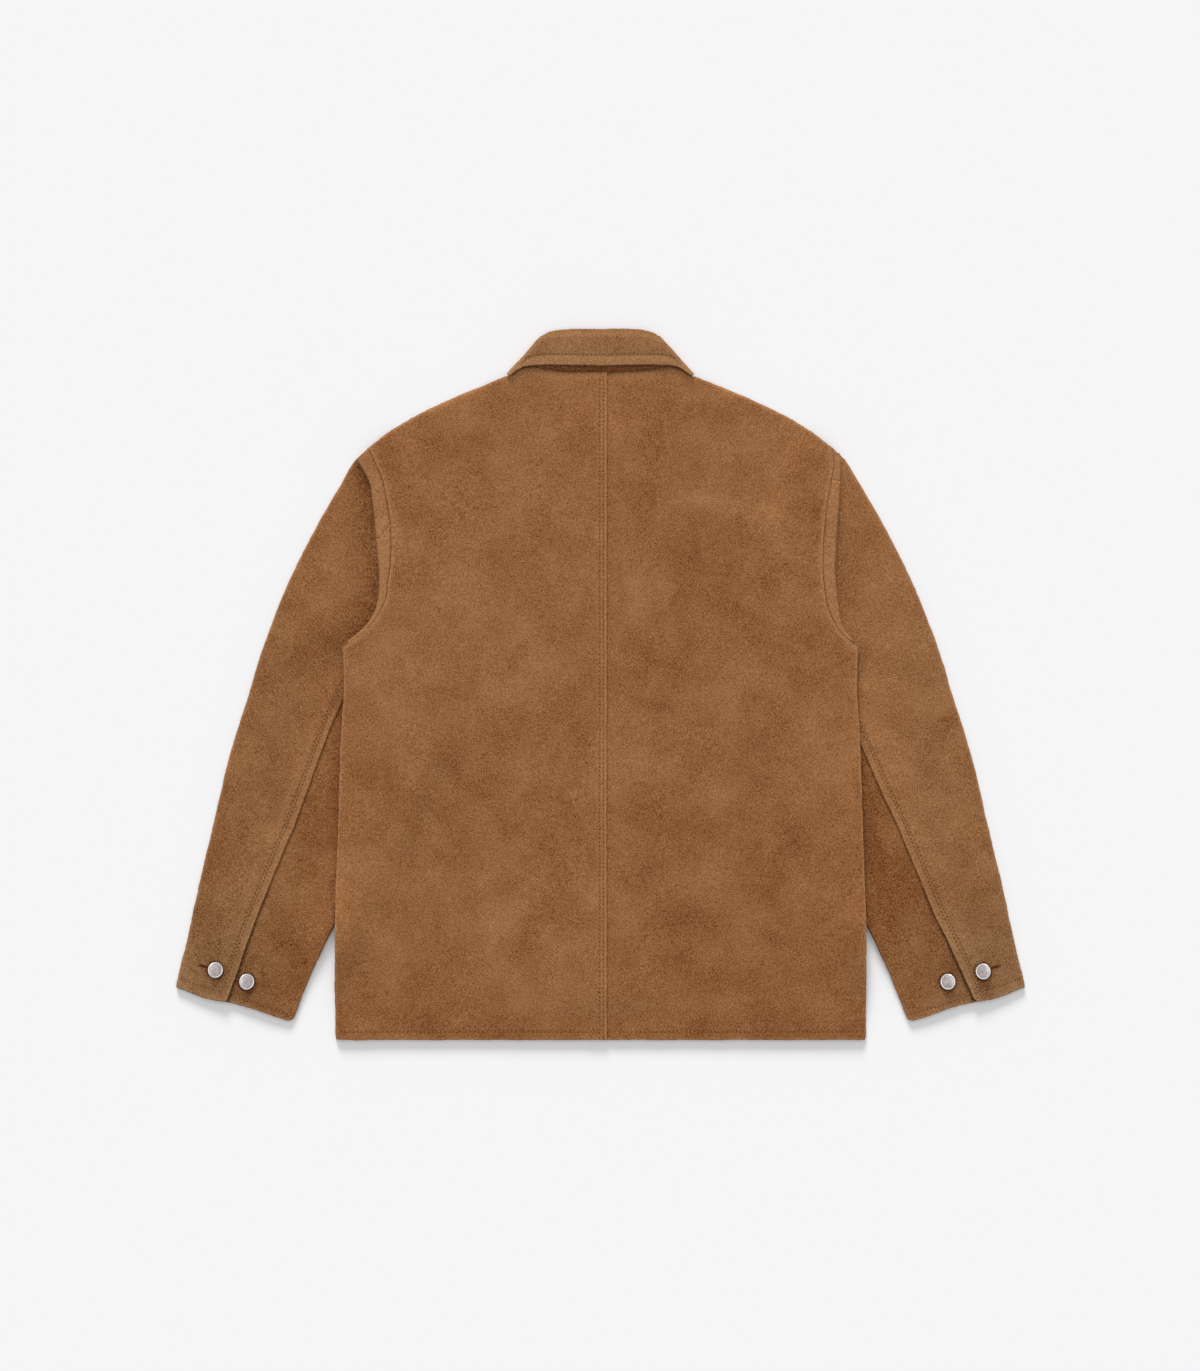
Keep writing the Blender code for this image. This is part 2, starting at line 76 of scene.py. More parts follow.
BACK_LAP_EDGE = 7.0
BACK_LAP_UNDER = 4.0
FRONT_LAP = 20.0
LAP_STEP = 0.9
FRONT_LAP_STEP = 1.9
SLEEVE_LAP = 11.0
RIDGE_HEIGHT = 2.7
RIDGE_HALF_WIDTH = 32.0
PROP_HEIGHT = 1.5
PROP_LAYERS = 4.7
GAP_MIDDLE = (291.0, 102.0)
GAP_REACH = (26.0, 48.0)
SIDES = {"left": -1.0, "right": 1.0}

# %% [markdown]
# ## The cut, as curves
#
# Half outline of the body and of the flattened sleeve (across, up).

# %% Curves
SIDE_EDGE = [(HALF_WIDTH, 0), (286.5, 121), (283, 240), (280, 330), (277, 380), (278, ARMPIT_UP)]
SHOULDER_LINE = [(102, 717), (137, 702.5), (186, 681), (224, 659.5), (250, 640)]
BACK_NECK = [(40, 722.4), (60, 725.6), (78, 728), (88, 724.5), (94.5, 719.2), (98.5, 717), (102, 716.8)]
FRONT_NECK = [(-FRONT_LAP, 640), (20, 641), (62, 660), (90, 690), (101, 715)]

# Armhole seam, with the width of sleeve cloth that stands out past it before it folds under.
ARMHOLE = {
    "left": [(250, 640, 18), (242, 622, 15), (235, 605, 14.3), (230.5, 583, 15.5), (227, 560, 15.6),
             (225.9, 540, 15.6), (226.3, 518, 13.3), (228.4, 499, 10.2), (231.5, 478, 8), (238, 462, 5),
             (247, 449, 3.5), (261, 436, 2.6), (278, 424, 1.2)],
    "right": [(250, 640, 7), (251.5, 621, 7.5), (249, 605, 9.5), (246, 588, 11.8), (243.3, 571, 13),
              (241.5, 549, 13.3), (240.4, 528, 13.6), (240.3, 507, 12.6), (241.9, 486, 12.8),
              (244.6, 470, 11.5), (249, 458, 9), (256.5, 444, 5), (267.3, 432, 3), (278, 424, 1.2)],
}
SLEEVE_OUTER = [(250, 640), (264.6, 626.4), (277.6, 604.8), (302.9, 561.6), (335.9, 496.8), (361.8, 432),
                (382.3, 367.2), (402.3, 302.4), (417.4, 237.6), (433, 172.8), (447, 108), (459.4, 57.2)]
SLEEVE_INNER = [(190, 390), (192, 345), (206, 298), (228, 248), (254, 194), (289, 121), (313.7, 68),
                (333.2, 19.4)]
SLEEVE_ROOT = [(250, 640), (237, 610), (219, 576), (208, 540), (200, 500), (194, 460), (191, 424),
               (190, 390)]

# Rear sleeve seam (share of the sleeve's length, share of its width from the outer edge).
REAR_SEAM = {
    "left": [(0, 0.36), (0.11, 0.47), (0.2, 0.53), (0.38, 0.52), (0.6, 0.53), (0.73, 0.497), (1, 0.44)],
    "right": [(0, 0.38), (0.15, 0.54), (0.3, 0.61), (0.47, 0.6), (0.6, 0.58), (0.8, 0.54), (1, 0.43)],
}
FOREARM_SEAM = 0.3

# Where the sleeve lies beneath the body (up, across), and what the pleat covers (up, across).
SLEEVE_UNDER_BODY = [(0, 345), (20, 326), (68, 303), (121, 281), (194, 245), (245, 222), (290, 202),
                     (340, 186), (390, 182), (424, 182), (460, 185), (500, 191), (540, 199), (576, 210),
                     (610, 227), (640, 240), (660, 256), (718, 330)]
PLEAT_COVER = [(372, 290), (424, 284), (445, 266), (465, 260), (500, 257), (560, 258), (600, 263),
               (640, 264)]
# Where the seam of the two sleeve pieces meets the armhole, and how its cloth slants there (shares).
PLEAT_JOINT = {"left": 0.36, "right": 0.15}
PLEAT_SLANT = {"left": 0.065, "right": 0.0}
PLEAT_LEAD = 0.03
ARMPIT_SHARE = 0.635

# Collar: the roll and the free edge of the fall, the top and the seam of the stand.
FALL = {
    "roll": [(0, 768), (34, 768), (50, 766.3), (58, 763.7), (63, 760.6)],
    "edge": [(0, 728.0), (30, 728.6), (60, 729.6), (86, 727.5), (101, 719)],
    "front_roll": [(63, 760.6), (70, 725), (53, 690), (12, 668)],
    "front_edge": [(101, 719), (112, 680), (100, 640), (48, 594)],
    "fold": [(63, 760.6), (71.5, 751.5), (80.8, 741), (91.5, 729.3), (101, 719)],
}
STAND = {
    "roll": [(0, 760), (36, 759.5), (49, 755)],
    "edge": [(0, 721.5), (40, 722.9), (60, 726.1), (78, 728.8)],
    "front_roll": [(49, 755), (57, 722), (45, 692), (8, 673)],
    "front_edge": [(78, 728.8), (85, 710), (83, 694), (57, 666.5), (8, 645.5)],
    "fold": [(49, 755), (59, 746), (69, 737), (78, 728.8)],
}
FALL_BACK_LAYER = 7.4
FALL_FRONT_LAYER = COLLAR_WALL / 2
STAND_FRONT_LAYER = 3.4

# Buttons (across, up, base height).
CUFF_BUTTONS = {
    "left": [(416.2, 75.9, 6.0), (382.5, 63.2, 4.9)],
    "right": [(413.6, 74.4, 6.2), (375.7, 63.2, 5.3)],
}
FRONT_BUTTONS_UP = [80, 205, 330, 455, 575]
# How far the front half of the collar reaches (up, across).
COLLAR_COVER = [(566, 66), (594, 76), (640, 114), (680, 126), (718, 122)]
BUTTON_RADIUS = 8.5

# %% [markdown]
# ## Curves and grids
#
# A table becomes a cubic curve, and four curves become a grid by blending them (a Coons patch).


# %% Curve tools
FAR = 99.0


def smooth(rows, count):
    """Points at even steps along a cubic curve through the rows of a table."""
    points = np.array(rows, float)
    along = walked(points)
    slopes = np.gradient(points, along, axis=0)
    fine = np.linspace(0, along[-1], 40 * len(points))
    i = np.clip(np.searchsorted(along, fine, side="right") - 1, 0, len(along) - 2)
    span = (along[i + 1] - along[i])[:, None]
    u = (fine - along[i])[:, None] / span
    curve = (2 * u**3 - 3 * u**2 + 1) * points[i] + (u**3 - 2 * u**2 + u) * span * slopes[i]
    curve += (3 * u**2 - 2 * u**3) * points[i + 1] + (u**3 - u**2) * span * slopes[i + 1]
    return even(curve, count)


def walked(curve):
    """How far along the plan each point of a curve is from its first."""
    return np.concatenate([[0], np.cumsum(np.hypot(np.diff(curve[:, 0]), np.diff(curve[:, 1])))])


def even(curve, count):
    """The same curve with points at even steps."""
    steps = walked(curve)
    return at(curve, np.linspace(0, steps[-1], count), steps)


def at(curve, share, steps=None):
    """Points of a curve at shares of its length, or at steps along it."""
    steps = np.linspace(0, 1, len(curve)) if steps is None else steps
    return np.stack([np.interp(share, steps, column) for column in curve.T], axis=-1)


def looked_up(value, table):
    """The second column of a table at a value of its first, straight between its rows."""
    return np.interp(value, *np.array(table, float).T)


def ease(u):
    """0 below 0, 1 above 1, and a smooth step between."""
    u = np.clip(u, 0, 1)
    return u * u * (3 - 2 * u)


def patch(low, high, inner, outer, s, t):
    """Grid of points between four boundary curves, rows along t and columns along s."""
    s, t = s[None, :, None], t[:, None, None]
    low, high, inner, outer = low[None], high[None], inner[:, None], outer[:, None]
    ruled = (1 - t) * low + t * high + (1 - s) * inner + s * outer
    corners = (1 - t) * ((1 - s) * low[:, :1] + s * low[:, -1:])
    corners = corners + t * ((1 - s) * high[:, :1] + s * high[:, -1:])
    return ruled - corners


def rounded(x, y, radius):
    """Distances from two edges that meet at a corner, moved so that the corner is round."""
    from_x, from_y = np.clip(radius - x, 0, None), np.clip(radius - y, 0, None)
    shrink = np.maximum(from_x, from_y) / np.maximum(np.hypot(from_x, from_y), 1e-9)
    inside = (from_x > 0) & (from_y > 0)
    return np.where(inside, radius - from_x * shrink, x), np.where(inside, radius - from_y * shrink, y)


def with_outward(curve):
    """The curve and its unit normals, to the right of the way it runs."""
    tangent = np.gradient(curve[:, :2], axis=0)
    tangent /= np.linalg.norm(tangent, axis=1)[:, None]
    return curve, np.stack([-tangent[:, 1], tangent[:, 0]], axis=1)


def distance(points, lines):
    """Distance in the plan from each point to the nearest of some polylines."""
    best = np.full(len(points), FAR)
    for line in lines:
        line = np.asarray(line, float)[:, :2]
        start, step = line[:-1], np.diff(line, axis=0)
        away = points[:, None, :2] - start
        u = np.clip((away * step).sum(2) / (step * step).sum(1), 0, 1)
        best = np.minimum(best, np.linalg.norm(away - u[..., None] * step, axis=2).min(1))
    return best


LATTICE = 97
LATTICE_START = (40.37, 40.71)


def hills(x, y, size, seed):
    """Smooth random hills between -1 and 1, about size across: values on a lattice, eased between."""
    table = np.random.default_rng(seed).uniform(-1, 1, (LATTICE, LATTICE))
    u, v = x / size + LATTICE_START[0], y / size + LATTICE_START[1]
    i, j = np.floor(u).astype(int), np.floor(v).astype(int)
    a, b = ease(u - i), ease(v - j)
    i, j, next_i, next_j = i % LATTICE, j % LATTICE, (i + 1) % LATTICE, (j + 1) % LATTICE
    low = table[i, j] * (1 - a) + table[next_i, j] * a
    high = table[i, next_j] * (1 - a) + table[next_i, next_j] * a
    return low * (1 - b) + high * b


def waves(x, y, parts):
    """Hills of several sizes added up, each (amount, size, seed)."""
    return sum(amount * hills(x, y, size, seed) for amount, size, seed in parts)


# %% [markdown]
# ## How high each layer lies
#
# The sleeves lie on the floor and the body lies over them, so the body rises where they are.
# One field of soft waves scales every height, so no layer passes through another.


# %% Heights
# Soft waves in the height, and the fray of every edge: (amount, size, seed).
SWELL = [(0.5, 130, 3), (0.3, 62, 5), (0.2, 33, 8)]
SWELL_MEAN, SWELL_SPAN = 1.14, 0.14
FRAY_ACROSS = [(0.3, 2.6, 31), (0.35, 14, 33)]
FRAY_UP = [(0.3, 2.6, 32), (0.35, 17, 34)]


def raised(across, up):
    """Share by which a body panel is lifted where the sleeve lies beneath it."""
    return ease((across - looked_up(up, SLEEVE_UNDER_BODY) + LIFT_EARLY + LIFT_RAMP) / LIFT_RAMP)


def along_front(across, up, reach):
    """Share of the lift over the row of front buttons."""
    middle = ease((reach - np.abs(across)) / (reach - RIDGE_HALF_WIDTH))
    return middle * ease((up - 15) / 40)


def over_collar(across, up):
    """Share of the lift over the front half of the collar."""
    return ease((looked_up(up, COLLAR_COVER) + 14 - across) / 14) * ease((up - 560) / 24)


def front_height(across, up, side):
    """Middle height of a front panel; the right front lies on the left one at the centre."""
    height = FLOOR_LAYER + (FRONT_OVER_SLEEVE - FLOOR_LAYER) * raised(across, up)
    height = height + RIDGE_HEIGHT * np.maximum(along_front(across, up, 64), over_collar(across, up))
    if side == "right":
        height = height + FRONT_LAP_STEP * ease((FRONT_LAP + 28 - across) / 14)
    return height


def back_height(across, up):
    """Middle height of a back panel before its edges turn down."""
    ridge = RIDGE_HEIGHT * along_front(across, up, 80) * ease((700 - up) / 50)
    return BACK_LAYER + ridge + (BACK_OVER_SLEEVE - BACK_LAYER) * raised(across, up)


def swell(x, y):
    """Factor on every height at a place of the plan: soft waves of three sizes."""
    return SWELL_MEAN + SWELL_SPAN * waves(x, y, SWELL)


def propped(x, y, z):
    """How much higher body and sleeve stand beside the narrow gap between them: more with each layer."""
    u, v = (np.abs(x) - GAP_MIDDLE[0]) / GAP_REACH[0], (y - GAP_MIDDLE[1]) / GAP_REACH[1]
    return PROP_HEIGHT * np.exp(-(u**2) - v**2) * np.clip(z - FLOOR_LAYER, 0, PROP_LAYERS)


def laid(points, side):
    """Points (across, up, height) in millimetres as points of the jacket in metres, a little frayed."""
    x, y, z = points[..., 0] * SIDES[side], points[..., 1], points[..., 2]
    height = z * swell(x, y) + propped(x, y, z)
    frayed = [x + waves(x, y, FRAY_ACROSS), y + waves(x, y, FRAY_UP) - LENGTH / 2]
    return np.stack([frayed[0] * MM, frayed[1] * MM, height * MM], axis=-1)


# %% [markdown]
# ## Materials
#
# A socket that can be added and multiplied keeps the node recipes readable.


# %% Socket
class Socket:
    """A node's output, with arithmetic. Any other node comes from make()."""

    def __init__(self, tree, output):
        self.tree, self.output = tree, output

    def make(self, kind, settings=None, sockets=None, out=0):
        node = self.tree.nodes.new("ShaderNode" + kind)
        for key, value in (settings or {}).items():
            setattr(node, key, value)
        for key, value in (sockets or {}).items():
            if isinstance(value, Socket):
                self.tree.links.new(value.output, node.inputs[key])
            else:
                node.inputs[key].default_value = value
        return Socket(self.tree, node.outputs[out])

    def math(self, operation, *others):
        return self.make("Math", {"operation": operation}, dict(enumerate((self, *others))))

    def vector(self, operation, *others):
        return self.make("VectorMath", {"operation": operation}, dict(enumerate((self, *others))))

    def __add__(self, other):
        return self.math("ADD", other)

    def __sub__(self, other):
        return self.math("SUBTRACT", other)

    def __mul__(self, other):
        return self.math("MULTIPLY", other)

    def __rsub__(self, other):
        return self.make("Math", {"operation": "SUBTRACT"}, {0: other, 1: self})

    def ramp(self, low, high, to_low=0.0, to_high=1.0):
        """A smooth step from to_low at low to to_high at high."""
        limits = {"From Min": low, "From Max": high, "To Min": to_low, "To Max": to_high}
        return self.make("MapRange", {"interpolation_type": "SMOOTHSTEP"}, {"Value": self, **limits})

    def mix(self, low, high):
        """The colour low where this is 0 and high where it is 1."""
        return self.make("Mix", {"data_type": "RGBA"}, {0: self, 6: low, 7: high}, out=2)

    def noise(self, scale, detail=2.0, roughness=0.5, distortion=0.0):
        """Noise at these coordinates, from 0 to 1."""
        return self.make("TexNoise", {"noise_dimensions": "3D"},
                         {"Vector": self, "Scale": scale, "Detail": detail, "Roughness": roughness,
                          "Distortion": distortion})

    def attribute(self, key):
        """A number stored at each point of the mesh."""
        return self.make("Attribute", {"attribute_type": "GEOMETRY", "attribute_name": key}, out=2)

    def bump(self, strength, distance, height):
        return self.make("Bump", {}, {"Strength": strength, "Distance": distance, "Height": height})


def new_material(name, **constants):
    """A Principled material with its constants set, its shader, and a socket to start from."""
    material = bpy.data.materials.new(name)
    material.use_nodes = True
    shader = material.node_tree.nodes["Principled BSDF"]
    for key, value in constants.items():
        shader.inputs[key.replace("_", " ")].default_value = value
    return material, shader, Socket(material.node_tree, None)


def plug(start, shader, **sockets):
    """Link sockets to the shader's inputs."""
    for key, value in sockets.items():
        start.tree.links.new(value.output, shader.inputs[key.replace("_", " ")])


# %% [markdown]
# Suede: matt, with a fine nap that lies this way and that in patches. Its attributes are "stitch"
# and "worn", the distances in millimetres to the nearest row of stitches and rubbed edge, "tone",
# which shades whole areas and also carries rubbed wear and painted light beside some lines, the
# painted-shade attribute, which is 1 where a shadow is painted dark beside folds, seams and buttons
# and under the collar, and "dust", which greys it.

# %% Suede
SUEDE_DARK = (0.185, 0.066, 0.0175, 1)
SUEDE_LIGHT = (0.325, 0.150, 0.060, 1)
NAP_LIGHT = (0.25, 0.155, 0.088)
DUSTY = (0.88, 1.03, 1.2, 1)
METAL_DARK = (0.42, 0.37, 0.36, 1)
METAL_LIGHT = (0.74, 0.68, 0.66, 1)
RIM_HIGHLIGHT = (0.88, 0.86, 0.85, 1)


def suede(name):
    """Brushed suede between a dark and a light brown, which lies more or less towards the light."""
    material, shader, start = new_material(
        name, Roughness=0.95, Specular_IOR_Level=0.1, Sheen_Weight=0.15, Sheen_Roughness=0.5,
        Sheen_Tint=(0.9, 0.62, 0.42, 1))
    place = start.make("TexCoord", out=3)
    stitch, worn, tone, painted_shade, dust = map(start.attribute, ("stitch", "worn", "tone", "painted_shade", "dust"))
    wide = place.noise(11, 2, 0.45, 0.6)
    patches = place.noise(30, 3, 0.5, 0.3)
    flecks = place.noise(120, 3, 0.6, 0.5)
    nap = place.noise(720, 2, 0.6, 0.6)
    grain = place.noise(1500, 1, 0.5)
    lie = tone + (wide - 0.5) * 0.8 + (patches - 0.5) * 0.9 + (flecks - 0.5) * 0.5
    lie = lie + worn.ramp(0.0, 3.4, 0.65, 0.0) * place.noise(140, 3, 0.6).ramp(0.25, 0.7, 0.4, 1.0)
    # Painted shade: where the painted-shade attribute is high, here and below, the colour is made darker to
    # stand in for shadows beside folds, seams, buttons and under the collar.
    lie = lie - stitch.ramp(0.2, 1.4, 0.1, 0.0) - painted_shade * 0.35
    body = lie.mix(SUEDE_DARK, SUEDE_LIGHT)
    fine = (nap - 0.5) * 2.0 + (grain - 0.5) * 1.7
    shade = dust.mix((1, 1, 1, 1), DUSTY)
    for factor in (shade, 1.0 - painted_shade * 0.38):
        body = body.vector("MULTIPLY", factor)
    colour = fine.vector("MULTIPLY_ADD", NAP_LIGHT, body)
    relief = nap * 0.55 + grain * 0.25 + flecks * 0.6 + stitch.ramp(0.0, 2.2) * 0.35
    plug(start, shader, Base_Color=colour, Normal=start.bump(0.9, 0.0008, relief))
    return material


def thread(name, dark, light):
    """Matt thread, or the painted shade of a stitch hole, between two colours."""
    material, shader, start = new_material(name, Roughness=0.9, Specular_IOR_Level=0.05)
    place = start.make("TexCoord", out=3)
    colour = place.noise(700, 2).ramp(0.3, 0.7).mix(dark, light)
    plug(start, shader, Base_Color=colour)
    return material


def metal(name):
    """Satin metal, a little worn: a faint cloudy tone, fine grain and a painted highlight round the rim."""
    material, shader, start = new_material(name, Metallic=0.7)
    place = start.make("TexCoord", out=3)
    clouds, grain = place.noise(260, 3, 0.55), place.noise(760, 2, 0.6)
    face = (clouds * 0.4 + grain * 0.6).ramp(0.36, 0.64).mix(METAL_DARK, METAL_LIGHT)
    # Painted highlight: the rim gets a lighter colour to stand in for the light it catches.
    colour = start.attribute("rim").mix(face, RIM_HIGHLIGHT)
    plug(start, shader, Base_Color=colour, Roughness=clouds.ramp(0.2, 0.8, 0.5, 0.38),
         Normal=start.bump(0.15, 0.0001, grain))
    return material


SUEDE, METAL = suede("suede_nap"), metal("button_satin")
# Painted shade: dark short meshes between the stitches stand in for the shade inside the stitch holes and the
# buttonhole slit.
HOLE_SHADE = thread("painted_hole_shade", (0.045, 0.016, 0.006, 1), (0.09, 0.034, 0.013, 1))
TAN_THREAD = thread("tan_thread", (0.24, 0.105, 0.042, 1), (0.37, 0.18, 0.08, 1))
RUST_THREAD = thread("rust_thread", (0.10, 0.028, 0.010, 1), (0.20, 0.06, 0.02, 1))
print("materials", [m.name for m in bpy.data.materials])

# %% [markdown]
# ## Making a piece of cloth
#
# A grid of middle points, its marks and a Solidify modifier for the thickness.


# %% Cloth
def grid_faces(ids):
    """Four-sided faces between the points of a grid of point numbers."""
    quads = np.stack([ids[:-1, :-1], ids[:-1, 1:], ids[1:, 1:], ids[1:, :-1]], axis=-1)
    return quads.reshape(-1, 4)


def grid_ids(rows, columns, closed=False):
    """Point numbers of a grid; a closed one ends with its first column again."""
    ids = np.arange(rows * columns).reshape(rows, columns)
    return np.concatenate([ids, ids[:, :1]], axis=1) if closed else ids


def mesh_object(name, points, faces, *materials):
    """A smooth object in the scene, which rides on the jacket's one body."""
    mesh = bpy.data.meshes.new(name)
    mesh.from_pydata(points.tolist(), [], faces.tolist())
    mesh.shade_smooth()
    for material in materials:
        mesh.materials.append(material)
    thing = bpy.data.objects.new(name, mesh)
    bpy.context.scene.collection.objects.link(thing)
    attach(thing, "root")
    return thing


def set_attribute(mesh, key, values):
    mesh.attributes.new(key, "FLOAT", "POINT").data.foreach_set("value", values.astype(np.float32))


TONE = 0.53
HIDE_WAVES = [(0.05, 95, 21), (0.05, 40, 22)]
# Depth and reach in millimetres of the marks beside each kind of line. Every mark that darkens is painted
# shade: beside the armhole pleat and seam, the body's side, the rear seam and vent, round the buttons and
# under the collar's free edge. Of the marks that lighten, those at the cuff, the centre seam and the rear
# seam are rubbed wear, the one under the collar's free edge is painted light, and those at the armhole seam
# and the collar's free edge are partly wear and partly painted light.
MARKS = {
    "armhole rubbed": (1.1, 2.6), "armhole painted shade": (0.45, 1.0), "side painted shadow": (0.5, 7.0),
    "centre rubbed": (0.25, 5.0), "centre edge rubbed": (0.8, 1.6), "cuff rubbed": (0.3, 9.0),
    "rear seam rubbed": (0.25, 9.0), "rear seam painted shadow": (0.5, 1.6), "vent painted shadow": (1.2, 2.0),
    "button painted shadow": (2.2, 1.5), "fall rubbed": (1.0, 9.0), "under fall rubbed": (0.5, 4.0),
    "under fall painted shadow": (0.8, 2.6), "left pleat painted shade": (0.6, 14.0), "right pleat painted shade": (0.1, 14.0),
}
# Soft light and dark patches, partly the hide's own tone and partly painted light and shade of soft creases
# and folds: (x, up, half length, half width, angle in degrees, amount).
TONE_AND_CREASE_SHADE_PATCHES = [
    (113, 583, 34, 8, -5, 0.3), (194, 567, 24, 8, -25, 0.25), (36, 486, 30, 13, 90, 0.32),
    (70, 495, 18, 12, 90, 0.28), (56, 364, 28, 5, -12, -0.32), (97, 680, 54, 14, 0, -0.2),
    (-157, 648, 44, 14, 8, -0.2), (124, 535, 34, 28, 0, -0.14), (172, 313, 66, 32, 90, -0.14),
    (194, 173, 88, 22, 90, -0.18), (-96, 568, 26, 22, 30, 0.18), (-162, 535, 16, 14, 0, 0.14),
    (-111, 375, 22, 16, 0, 0.22), (-24, 349, 20, 15, 90, -0.18), (62, 87, 44, 15, 0, -0.18),
    (205, 32, 44, 30, 0, -0.2), (-182, 30, 56, 13, 0, -0.14), (-268, 396, 27, 13, 90, 0.2),
    (108, 281, 44, 28, 0, 0.1), (-105, 167, 22, 10, 90, -0.14), (-294, 475, 32, 12, 20, 0.26),
    (-328, 259, 62, 11, 64, 0.2), (-416, 208, 36, 22, 70, -0.2), (332, 288, 34, 14, -60, 0.34),
    (354, 205, 24, 11, -60, 0.24), (379, 343, 14, 6, -20, -0.35), (296, 205, 66, 9, -78, -0.35),
    (-250, 215, 60, 30, 90, 0.06),
]


def dust_of(x, y):
    """How grey the hide is: dusty towards the cuffs."""
    x = np.abs(x)
    return 0.25 * ease((x - 290) / 60) + 0.75 * ease((x - 330) / 80) * ease((230 - y) / 160)


def tone_of(x, y):
    """Large areas: the right side darkens towards the hem, the hide varies from place to place, and soft
    creases get painted light and shade.
    """
    tone = TONE - 0.06 * ease((x + 30) / 160) * ease((470 - y) / 330) - 0.14 * ease((46 - y) / 34)
    tone = tone + waves(x, y, HIDE_WAVES)
    for middle_x, middle_y, long, wide, angle, amount in TONE_AND_CREASE_SHADE_PATCHES:
        c, s = np.cos(np.radians(angle)), np.sin(np.radians(angle))
        u, v = (x - middle_x) * c + (y - middle_y) * s, (y - middle_y) * c - (x - middle_x) * s
        tone = tone + amount * np.exp(-((u / long) ** 2 + (v / wide) ** 2))
    return tone


def beside(points, lines):
    """How much each point is marked beside the lines, each (line, depth, reach in millimetres)."""
    marked = np.zeros(len(points))
    for line, depth, reach in lines:
        marked = np.maximum(marked, depth * np.exp(-((distance(points, [line]) / reach) ** 1.3)))
    return marked


def cloth(name, grid, side, hem=None, flap=None, stitches=(), worn=(), painted_shade_lines=(), rubbed=(), on_top=None,
          wall=WALL, shade=0.0, dust=0.0, flap_shade=0.0, flap_painted_shade_lines=()):
    """One cloth piece. hem is 1 where the edge is turned in, flap a second grid with the column of
    the main grid's first row that it starts from, and on_top is True where stitches and wear apply.
    Beside the lines of painted shade a shadow is painted dark, and beside the rubbed ones the colour
    is lightened: by wear, and at some lines as painted light."""
    rows, columns = grid.shape[:2]
    ids = grid_ids(rows, columns)
    points, faces = grid.reshape(-1, 3), grid_faces(ids)
    count = len(points)
    marked = np.ones(count, bool) if on_top is None else on_top.reshape(-1)
    thick = np.zeros(count) if hem is None else hem.reshape(-1)
    if flap is not None:
        flap_grid, start = flap
        flap_ids = count - flap_grid.shape[1] + grid_ids(*flap_grid.shape[:2])
        flap_ids[0] = ids[0, start:start + flap_grid.shape[1]]
        extra = flap_grid[1:].reshape(-1, 3)
        points = np.concatenate([points, extra])
        marked = np.concatenate([marked, extra[:, 2] > PLEAT_LAYER + 1])
        thick = np.concatenate([thick, np.zeros(len(extra))])
        faces = np.concatenate([faces, grid_faces(flap_ids)[:, ::-1]])
    piece = mesh_object(name, laid(points, side), faces, SUEDE)
    x, y, own, more = points[:, 0] * SIDES[side], points[:, 1], points[:count], points[count:]
    lighter = np.concatenate([beside(own, rubbed), np.full(len(more), flap_shade)])
    marks = {
        "stitch": np.where(marked, distance(points, stitches), FAR),
        "worn": np.where(marked, distance(points, worn), FAR),
        "tone": tone_of(x, y) + shade + lighter,
        # Painted shade: darkness painted beside the lines of painted shade, where shadows fall.
        "painted_shade": np.concatenate([beside(own, painted_shade_lines), beside(more, flap_painted_shade_lines)]),
        "dust": dust_of(x, y) + dust,
    }
    for key, values in marks.items():
        set_attribute(piece.data, key, values)
    solid = piece.modifiers.new("thickness", "SOLIDIFY")
    solid.offset = 0.0
    solid.thickness = HEM_WALL * MM
    group = piece.vertex_groups.new(name="turned_hem")
    for level in np.unique(np.round(thick, 2)):
        chosen = np.flatnonzero(np.round(thick, 2) == level).tolist()
        group.add(chosen, (wall + level * (HEM_WALL - WALL)) / HEM_WALL, "REPLACE")
    solid.vertex_group = group.name
    solid.thickness_vertex_group = 0.0
    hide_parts(name)
    area = sum(face.area for face in piece.data.polygons)
    print(name, len(faces), "faces", round(area, 4), "square metres")
    return piece


# %% [markdown]
# ## Body panels


# %% Body
NECK_SHARE = 0.4
BACK_STITCH_ROWS = {"left": [-3.3, 0.8], "right": []}
HEM_ROW_START = {"left": -4, "right": 20}
HEM_ROW_END = 284
HEM_STITCH_UP = 8.6
# Where the collar's free edge throws its shade on the back.
UNDER_FALL = np.array([(0, 720.5), (40, 722), (60, 725), (78, 727), (90, 723), (101, 718)])


def armhole(side):
    """Armhole seam from shoulder tip to armpit, with its outward direction."""
    return with_outward(smooth(ARMHOLE[side], 241))


def body_panel(side, inner_edge, columns, ups, armhole_rows, neck, top, pull):
    """Grid of (across, up) for a body panel, with its shares s across and t up. top is how far up
    the inner edge goes, and pull how far the armhole edge stays back from the seam."""
    width = HALF_WIDTH - inner_edge
    s = columns / width
    t = np.concatenate([ups / ARMPIT_UP * ARMPIT_SHARE, 1 - armhole_rows[1:] * (1 - ARMPIT_SHARE)])
    seam, outward = armhole(side)
    seam = at(seam[:, :2] - outward * pull, armhole_rows)
    outer = np.concatenate([at(smooth(SIDE_EDGE, 200), ups / ARMPIT_UP)[:-1], seam])
    neck_curve, shoulder = smooth(neck, 100), smooth(SHOULDER_LINE, 100)
    high = np.where((s <= NECK_SHARE)[:, None], at(neck_curve, s / NECK_SHARE),
                    at(shoulder, (s - NECK_SHARE) / (1 - NECK_SHARE)))
    low = np.stack([inner_edge + s * width, 0 * s], axis=1)
    inner = np.stack([inner_edge + 0 * t, t * top], axis=1)
    high[0], outer[-1] = inner[-1], high[-1]
    return patch(low, high, inner, outer, s, t), s, t


